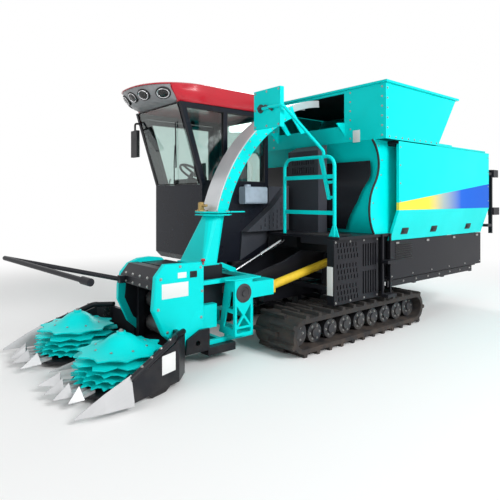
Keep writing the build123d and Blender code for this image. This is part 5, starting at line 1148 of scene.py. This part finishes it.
    def _lenses(self, shop: Paintshop) -> None:
        """Builds the rear lamps' ribbed lenses: red below, amber above."""
        wide, thin = self.rib_half
        for (x, z), finish in zip(self.lens_faces, ("Red lens", "Amber lens")):
            shape = Shape(shop)
            for side in Side:
                seat = facing((x, side.value * self.lens_y, z), BACK)
                shape.prism(rectangle(*self.lens), seat, 0.006, 0.003)
                for up in spread(-self.rib_reach, self.rib_reach, 7):
                    shape.prism(rectangle(-wide, wide, up - thin, up + thin), seat, 0.0085, 0.001)
            shape.piece(finish.lower().replace(" ", "_"), "chassis", finish)


@dataclass
class Cab:
    """Round-nosed roof, visor and lamps, window seals, wiper, mirror glass, handle, console and pads."""

    left_y: float = -0.108
    panes: tuple[tuple[Flat, ...], ...] = (
        ((1.085, 1.73), (1.333, 1.73), (1.578, 2.505), (1.085, 2.505)),
        ((0.46, 1.73), (1.03, 1.73), (1.03, 2.505), (0.46, 2.505)),
    )
    screen: tuple[Flat, Flat] = ((1.378, 1.70), (1.648, 2.55))
    screen_y: Flat = (-1.06, -0.16)
    rear_x: float = 0.412
    rear_pane: Span = (-1.015, -0.205, 1.73, 2.505)
    seal_r: float = 0.010
    wiper_cap: tuple[Flat, ...] = ((0.024, -0.03), (0.024, 0.012), (0.016, 0.02))
    wiper_foot: Point = (-0.62, 0.02, 0.01)
    wiper_arm: tuple[Point, ...] = ((-0.62, 0.02, 0.03), (-0.50, 0.30, 0.026), (-0.40, 0.50, 0.022))
    wiper_blade: tuple[Point, ...] = ((-0.52, 0.22, 0.012), (-0.28, 0.78, 0.012))
    middle_y: float = -0.61
    nose_x: float = 1.30
    nose_full: float = 2.4
    nose_points: int = 33
    droop: float = 0.35
    eaves_z: float = 2.56
    roof_rear: float = 0.375
    rear_corner: float = 0.05
    roof_levels: tuple[tuple[float, float, float, float, float], ...] = (
        (2.562, 1.900, 0.520, 0.010, 1.640),
        (2.580, 1.930, 0.532, 0.002, 1.650),
        (2.700, 1.990, 0.540, 0.000, 1.725),
        (2.751, 2.002, 0.536, 0.006, 1.745),
        (2.752, 2.008, 0.536, 0.006, 3.0),
        (2.764, 2.004, 0.528, 0.012, 3.0),
        (2.777, 1.980, 0.500, 0.035, 3.0),
        (2.785, 1.880, 0.430, 0.100, 3.0),
    )
    visor_levels: tuple[Span, ...] = (
        (2.561, 1.790, 0.500, 1.63),
        (2.580, 1.860, 0.520, 1.64),
        (2.640, 1.935, 0.528, 1.69),
        (2.700, 1.975, 0.530, 1.72),
        (2.7525, 1.995, 0.530, 1.74),
    )
    lamp_level: Point = (2.650, 1.942, 0.528)
    lamp_offsets: tuple[float, ...] = (-0.39, -0.20, 0.0, 0.20, 0.39)
    lamp_drop: float = -0.75
    lamp_oval: float = 1.25
    lamp_back: tuple[Flat, ...] = ((0.066, -0.02), (0.066, 0.004), (0.061, 0.008), (0.052, 0.008))
    lamp_rim: tuple[Flat, ...] = (
        (0.052, 0.0), (0.055, 0.010), (0.052, 0.013), (0.046, 0.010), (0.046, 0.0),
    )
    lamp_lens: tuple[Flat, ...] = ((0.047, -0.01), (0.047, 0.008), (0.0312, 0.013), (0.0104, 0.015))
    lamp_steps: int = 32
    mirror: Point = (1.650, -1.095, 2.19)
    mirror_half: Flat = (0.065, 0.145)
    handle: tuple[Point, ...] = (
        (1.16, -1.125, 1.60), (1.16, -1.150, 1.62), (1.16, -1.150, 1.76), (1.16, -1.125, 1.78),
    )
    console: tuple[Point, Point] = ((0.60, -0.34, 1.50), (1.15, -0.22, 1.72))
    lever_xs: tuple[float, ...] = (0.80, 0.92, 1.04)
    lever_y: float = -0.28
    lever_lean: float = 0.03
    lever_z: Point = (1.715, 1.855, 1.86)
    lever_knob: tuple[Flat, ...] = ((0.010, 0.0), (0.018, 0.012), (0.018, 0.03), (0.008, 0.042))
    display: tuple[Point, Point] = ((1.24, -0.42, 1.78), (1.27, -0.22, 1.93))
    display_stalk: tuple[Point, Point] = ((1.255, -0.32, 1.70), (1.255, -0.32, 1.79))
    pads: tuple[tuple[Point, Point], ...] = (
        ((0.552, -0.85, 1.505), (0.995, -0.39, 1.592)),
        ((0.478, -0.85, 1.61), (0.534, -0.39, 2.14)),
    )
    pad_voxel: float = 0.006
    pad_cap: float = 0.022
    pad_pressure: float = 4.0
    pad_frames: int = 20

    def build(self, shop: Paintshop) -> None:
        """Builds the cab's pieces."""
        self._seals(shop)
        self._wiper(shop)
        self._roof(shop)
        self._lamps(shop)
        x, y, z = self.mirror
        wide, tall = self.mirror_half
        glass = Shape(shop).box((x - 0.003, y - wide, z - tall), (x + 0.0005, y + wide, z + tall), 0.001)
        glass.piece("mirror_glass", "chassis", "Plated rod")
        Shape(shop).pipe(self.handle, 0.009).piece("door_handle", "cab_door", "Black plastic")
        self._console(shop)
        self._seat(shop)

    def _seals(self, shop: Paintshop) -> None:
        """Builds the rubber seals round the left, front and rear glass."""
        loops = [[(x, self.left_y, z) for x, z in outline] for outline in self.panes]
        (x0, z0), (x1, z1) = self.screen
        right, left = self.screen_y
        loops.append([(x0, right, z0), (x0, left, z0), (x1, left, z1), (x1, right, z1)])
        loops.append([(self.rear_x, y, z) for y, z in rectangle(*self.rear_pane)])
        seals = Shape(shop)
        for loop in loops:
            seals.pipe(loop, self.seal_r, 8, True)
        seals.piece("window_seals", "chassis", "Edge rubber")

    def _on_screen(self, y: float, share: float, lift: float) -> Point:
        """Returns a place at a share of the screen's height, lifted off the glass."""
        (x0, z0), (x1, z1) = self.screen
        return (x0 + (x1 - x0) * share + lift, y, z0 + (z1 - z0) * share)

    def _wiper(self, shop: Paintshop) -> None:
        """Builds the wiper: motor cap, arm and blade laid on the screen."""
        shape = Shape(shop).lathe(self.wiper_cap, facing(self._on_screen(*self.wiper_foot), FORWARD))
        shape.pipe([self._on_screen(*place) for place in self.wiper_arm], 0.006)
        shape.pipe([self._on_screen(*place) for place in self.wiper_blade], 0.008, 6)
        shape.piece("screen_wiper", "chassis", "Black plastic")

    def _nose(self, front: float, half: float, least: float, z: float) -> list[Point]:
        """Returns the roof's rounded front at one level, from its left to its right end.

        Args:
            front: How far forward the level reaches.
            half: Half its width.
            least: The X at which both ends of the curve stop.
            z: The level's height.

        Returns:
            The places along the curve.
        """
        reach = front - self.nose_x
        power = 2.0 / self.nose_full
        most = math.acos(max(0.0, (least - self.nose_x) / reach) ** (1.0 / power))
        places = []
        for turn in spread(most, -most, self.nose_points):
            x = self.nose_x + reach * max(0.0, math.cos(turn)) ** power
            y = self.middle_y + math.copysign(half * abs(math.sin(turn)) ** power, turn)
            places.append((x, y, z - self._droop(x, z)))
        return places

    def _droop(self, x: float, z: float) -> float:
        """Returns how far the brow has come down at a place, compared with the roof's middle."""
        return self.droop * max(0.0, x - self.nose_x) ** 2 * max(0.0, z - self.eaves_z)

    def _roof(self, shop: Paintshop) -> None:
        """Builds the round-nosed roof and its visor, in the place of the plain ones."""
        rings = []
        corner = self.rear_corner
        for z, front, half, inset, cut in self.roof_levels:
            rear = self.roof_rear + inset
            left, right = self.middle_y + half, self.middle_y - half
            ring = [(rear, right + corner, z), (rear, left - corner, z), (rear + corner, left, z)]
            ring += [(min(x, cut), y, level) for x, y, level in self._nose(front, half, self.nose_x, z)]
            rings.append([*ring, (rear + corner, right, z)])
        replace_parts(Shape(shop).loft(rings).piece("roof_shell", "chassis", "Red roof paint"), "cab_roof")
        visor = [self._nose(front, half, least, z) for z, front, half, least in self.visor_levels]
        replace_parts(Shape(shop).loft(visor).piece("visor_shell", "chassis", "Visor grey"), "visor")

    def _lamps(self, shop: Paintshop) -> None:
        """Builds the oval work lamps along the visor: lenses, bright rims and dark backs."""
        rims, backs, lenses = (Shape(shop) for _ in range(3))
        z, front, half = self.lamp_level
        reach = front - self.nose_x
        slope = self.nose_full - 1.0
        oval = Matrix.Diagonal((self.lamp_oval, 1.0, 1.0, 1.0))
        for offset in self.lamp_offsets:
            across = abs(offset) / half
            along = (1.0 - across ** self.nose_full) ** (1.0 / self.nose_full)
            x = self.nose_x + reach * along
            place = (x, self.middle_y + offset, z - self._droop(x, z))
            outward = math.copysign(across ** slope / half, offset)
            out = Vector((along ** slope / reach, outward, 0.0)).normalized()
            seat = facing(place, (out.x, out.y, self.lamp_drop)) @ oval
            backs.lathe(self.lamp_back, seat, self.lamp_steps)
            rims.lathe(self.lamp_rim, seat, self.lamp_steps)
            lenses.lathe(self.lamp_lens, seat, self.lamp_steps)
        rims.piece("lamp_rims", "chassis", "Plated rod")
        backs.piece("lamp_backs", "chassis", "Edge rubber")
        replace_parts(lenses.piece("lamp_lenses", "chassis", "Lamp lens"), "work_lamps")

    def _console(self, shop: Paintshop) -> None:
        """Builds the side console with its levers, and the display by the wheel."""
        shape = Shape(shop).box(*self.console, 0.015)
        low, seat_z, high = self.lever_z
        for x in self.lever_xs:
            top = x + self.lever_lean
            shape.pipe([(x, self.lever_y, low), (top, self.lever_y, high)], 0.006)
            shape.lathe(self.lever_knob, Matrix.Translation((top, self.lever_y, seat_z)))
        shape.box(*self.display, 0.006)
        shape.pipe(self.display_stalk, 0.012)
        shape.piece("cab_console", "chassis", "Black plastic")

    def _seat(self, shop: Paintshop) -> None:
        """Builds the seat's two pads as filled cloth covers."""
        first = None
        for name, (low, high) in zip(("seat_cushion", "seat_back"), self.pads):
            obj = Shape(shop).box(low, high, 0.02).piece(name, "chassis", "Cushion cloth")
            self._fill(obj)
            first = first or obj
        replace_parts(first, "seat_pads")

    def _fill(self, obj: bpy.types.Object) -> None:
        """Swells a pad as cloth under pressure, with its movement capped, and smooths it."""
        remesh = obj.modifiers.new("remesh", "REMESH")
        remesh.mode = "VOXEL"
        remesh.voxel_size = self.pad_voxel * 1.0
        bake(obj)
        rest = [vert.co.copy() for vert in obj.data.vertices]
        cloth = obj.modifiers.new("cloth", "CLOTH")
        cloth.settings.use_pressure = True
        cloth.settings.uniform_pressure_force = self.pad_pressure
        cloth.settings.effector_weights.gravity = 0.0
        cloth.point_cache.frame_start = 1
        cloth.point_cache.frame_end = self.pad_frames
        for step in range(1, self.pad_frames + 1):
            bpy.context.scene.frame_set(step)
        bake(obj)
        for vert, start in zip(obj.data.vertices, rest):
            move = vert.co - start
            if move.length > self.pad_cap:
                vert.co = start + move.normalized() * self.pad_cap
        bpy.context.scene.frame_set(1)
        smooth = obj.modifiers.new("smooth", "SMOOTH")
        smooth.factor = 0.5
        smooth.iterations = 4
        bake(obj)
        obj.data.shade_smooth()


def bake(obj: bpy.types.Object) -> None:
    """Applies an object's modifiers to its mesh."""
    graph = bpy.context.evaluated_depsgraph_get()
    made = bpy.data.meshes.new_from_object(obj.evaluated_get(graph))
    obj.modifiers.clear()
    obj.data = made


@dataclass
class Deck:
    """Side cover bolts and plate, and the ribbed rubber mat."""

    cover_y: float = 1.0
    cover_x: Flat = (-0.26, 0.46)
    cover_z: Flat = (0.445, 1.075)
    return_x: float = 0.485
    plate: Span = (0.905, 0.985, 0.52, 0.82)
    deck_z: float = 1.130
    mat: tuple[Flat, Flat] = ((0.08, 0.40), (0.45, 0.92))
    rib_half: float = 0.006
    rib_count: int = 16

    def build(self, shop: Paintshop) -> None:
        """Builds the deck's pieces."""
        edge = [(x, self.cover_y, z) for x in spread(*self.cover_x, 4) for z in self.cover_z]
        shop.bolts("side_cover_bolts", "chassis", edge, LEFT, 0.008)
        y0, y1, z0, z1 = self.plate
        low, high = self.return_x - PLATE_SINK, self.return_x + PLATE_RISE
        plate = Shape(shop).box((low, y0, z0), (high, y1, z1), PLATE_BEVEL)
        plate.piece("side_cover_plate", "chassis", "Bare plate")
        (x0, x1), (y0, y1) = self.mat
        z, half = self.deck_z, self.rib_half
        mat = Shape(shop).box((x0, y0, z), (x1, y1, z + 0.004), 0.001)
        for y in spread(y0 + 0.02, y1 - 0.02, self.rib_count):
            mat.box((x0 + 0.01, y - half, z + 0.003), (x1 - 0.01, y + half, z + 0.008), 0.001)
        mat.piece("deck_mat", "chassis", "Edge rubber")


@dataclass
class Undercarriage:
    """Hub bolts on the track wheels and rollers."""

    front_x: float = 0.960
    rear_x: float = -0.985
    rollers: int = 7
    wheel_z: float = 0.2023
    roller_z: float = 0.1803
    face_y: float = 0.940
    bolt_r: float = 0.070
    hub_bolts: int = 6

    def build(self, shop: Paintshop) -> None:
        """Builds the bolts of every wheel on both sides."""
        shape = Shape(shop)
        last = self.rollers + 1
        for n, x in enumerate(spread(self.front_x, self.rear_x, last + 1)):
            z = self.wheel_z if n in (0, last) else self.roller_z
            for side in Side:
                y = side.value * self.face_y
                ring = [(x + u, y, z + v) for u, v in circle(self.bolt_r, self.hub_bolts)]
                shape.bolts(ring, side.out, 0.009)
        shape.piece("wheel_bolts", "chassis", "Zinc bolts")


@dataclass
class Studio:
    """Pale floor, white surround, soft lamps and the photograph's camera."""

    eye: Point = (4.308, 4.193, 1.527)
    look: Point = (-0.644, -0.765, 0.0)
    lens: float = 34.2
    sensor: float = 36.0
    shift: float = -0.102
    floor_half: float = 60.0
    floor_grey: float = 0.92
    clear_radius: Flat = (4.2, 8.5)
    sky: float = 0.42
    lamps: tuple[tuple[str, Point, Point, float, float], ...] = (
        ("key", (-0.5, 9.5, 6.5), (-0.3, 0.4, 1.2), 4.0, 900.0),
        ("fill", (8.5, 1.0, 4.5), (0.8, 0.0, 1.0), 5.0, 170.0),
        ("back", (-6.5, -6.0, 6.0), (-0.5, 0.0, 1.4), 5.0, 420.0),
    )

    def build(self) -> None:
        """Builds the whole stage."""
        self._camera()
        self._world()
        self._floor()
        self._lamps()
        bpy.context.scene.view_settings.view_transform = "Standard"

    def _camera(self) -> None:
        """Places the camera where the photograph was taken from."""
        data = bpy.data.cameras.new("camera")
        data.lens = self.lens
        data.sensor_width = self.sensor
        data.shift_y = self.shift
        camera = bpy.data.objects.new("camera", data)
        camera.location = self.eye
        camera.rotation_euler = Vector(self.look).to_track_quat("-Z", "Y").to_euler()
        bpy.context.scene.collection.objects.link(camera)
        bpy.context.scene.camera = camera

    @staticmethod
    def _seen(graph: Graph) -> Socket:
        """Returns 1 for rays that show the surround: from the camera, mirrored or through glass."""
        path = graph.add("ShaderNodeLightPath").outputs
        mirrored = graph.math("MAXIMUM", path["Is Glossy Ray"], path["Is Transmission Ray"])
        return graph.math("MAXIMUM", path["Is Camera Ray"], mirrored)

    def _world(self) -> None:
        """White where it is seen, and a plain soft sky as light."""
        world = bpy.data.worlds.new("surround")
        graph = blank_graph(world)
        back = graph.add("ShaderNodeBackground")
        back.inputs["Color"].default_value = WHITE
        graph.feed(back.inputs["Strength"], graph.ramp(self._seen(graph), 0.0, 1.0, self.sky, 1.0))
        graph.show(back, "ShaderNodeOutputWorld")
        bpy.context.scene.world = world

    def _floor(self) -> None:
        """A pale floor that keeps the shadow and runs out into white."""
        mesh = bpy.data.meshes.new("floor")
        half = self.floor_half
        corners = [(x, y, 0.0) for x, y in rectangle(-half, half, -half, half)]
        mesh.from_pydata(corners, [], [(0, 1, 2, 3)])
        floor = bpy.data.objects.new("floor", mesh)
        bpy.context.scene.collection.objects.link(floor)
        material = bpy.data.materials.new("Pale floor")
        graph = blank_graph(material)
        far = graph.add("ShaderNodeVectorMath", operation="LENGTH")
        graph.feed(far.inputs[0], graph.place())
        fade = graph.ramp(far.outputs["Value"], *self.clear_radius)
        matt = graph.add("ShaderNodeBsdfDiffuse")
        matt.inputs["Color"].default_value = (*[self.floor_grey] * 3, 1.0)
        white = graph.add("ShaderNodeEmission")
        graph.show(graph.blend(graph.math("MULTIPLY", fade, self._seen(graph)), matt, white))
        mesh.materials.append(material)

    def _lamps(self) -> None:
        """Three large soft lamps: key, fill and back."""
        for name, place, aim, size, power in self.lamps:
            data = bpy.data.lights.new(name, "AREA")
            data.size = size
            data.energy = power
            lamp = bpy.data.objects.new(name, data)
            lamp.location = place
            lamp.rotation_euler = (Vector(aim) - Vector(place)).to_track_quat("-Z", "Y").to_euler()
            bpy.context.scene.collection.objects.link(lamp)


def main() -> None:
    """Builds the looks in order."""
    logging.basicConfig(level=logging.INFO)
    shop = Paintshop()
    shop.dress_solids()
    for assembly in (Header(), Chopper(), Spout(), Hopper(), BalerBox(), Cab(), Deck(), Undercarriage()):
        assembly.build(shop)
    Studio().build()


if __name__ == "__main__":
    main()
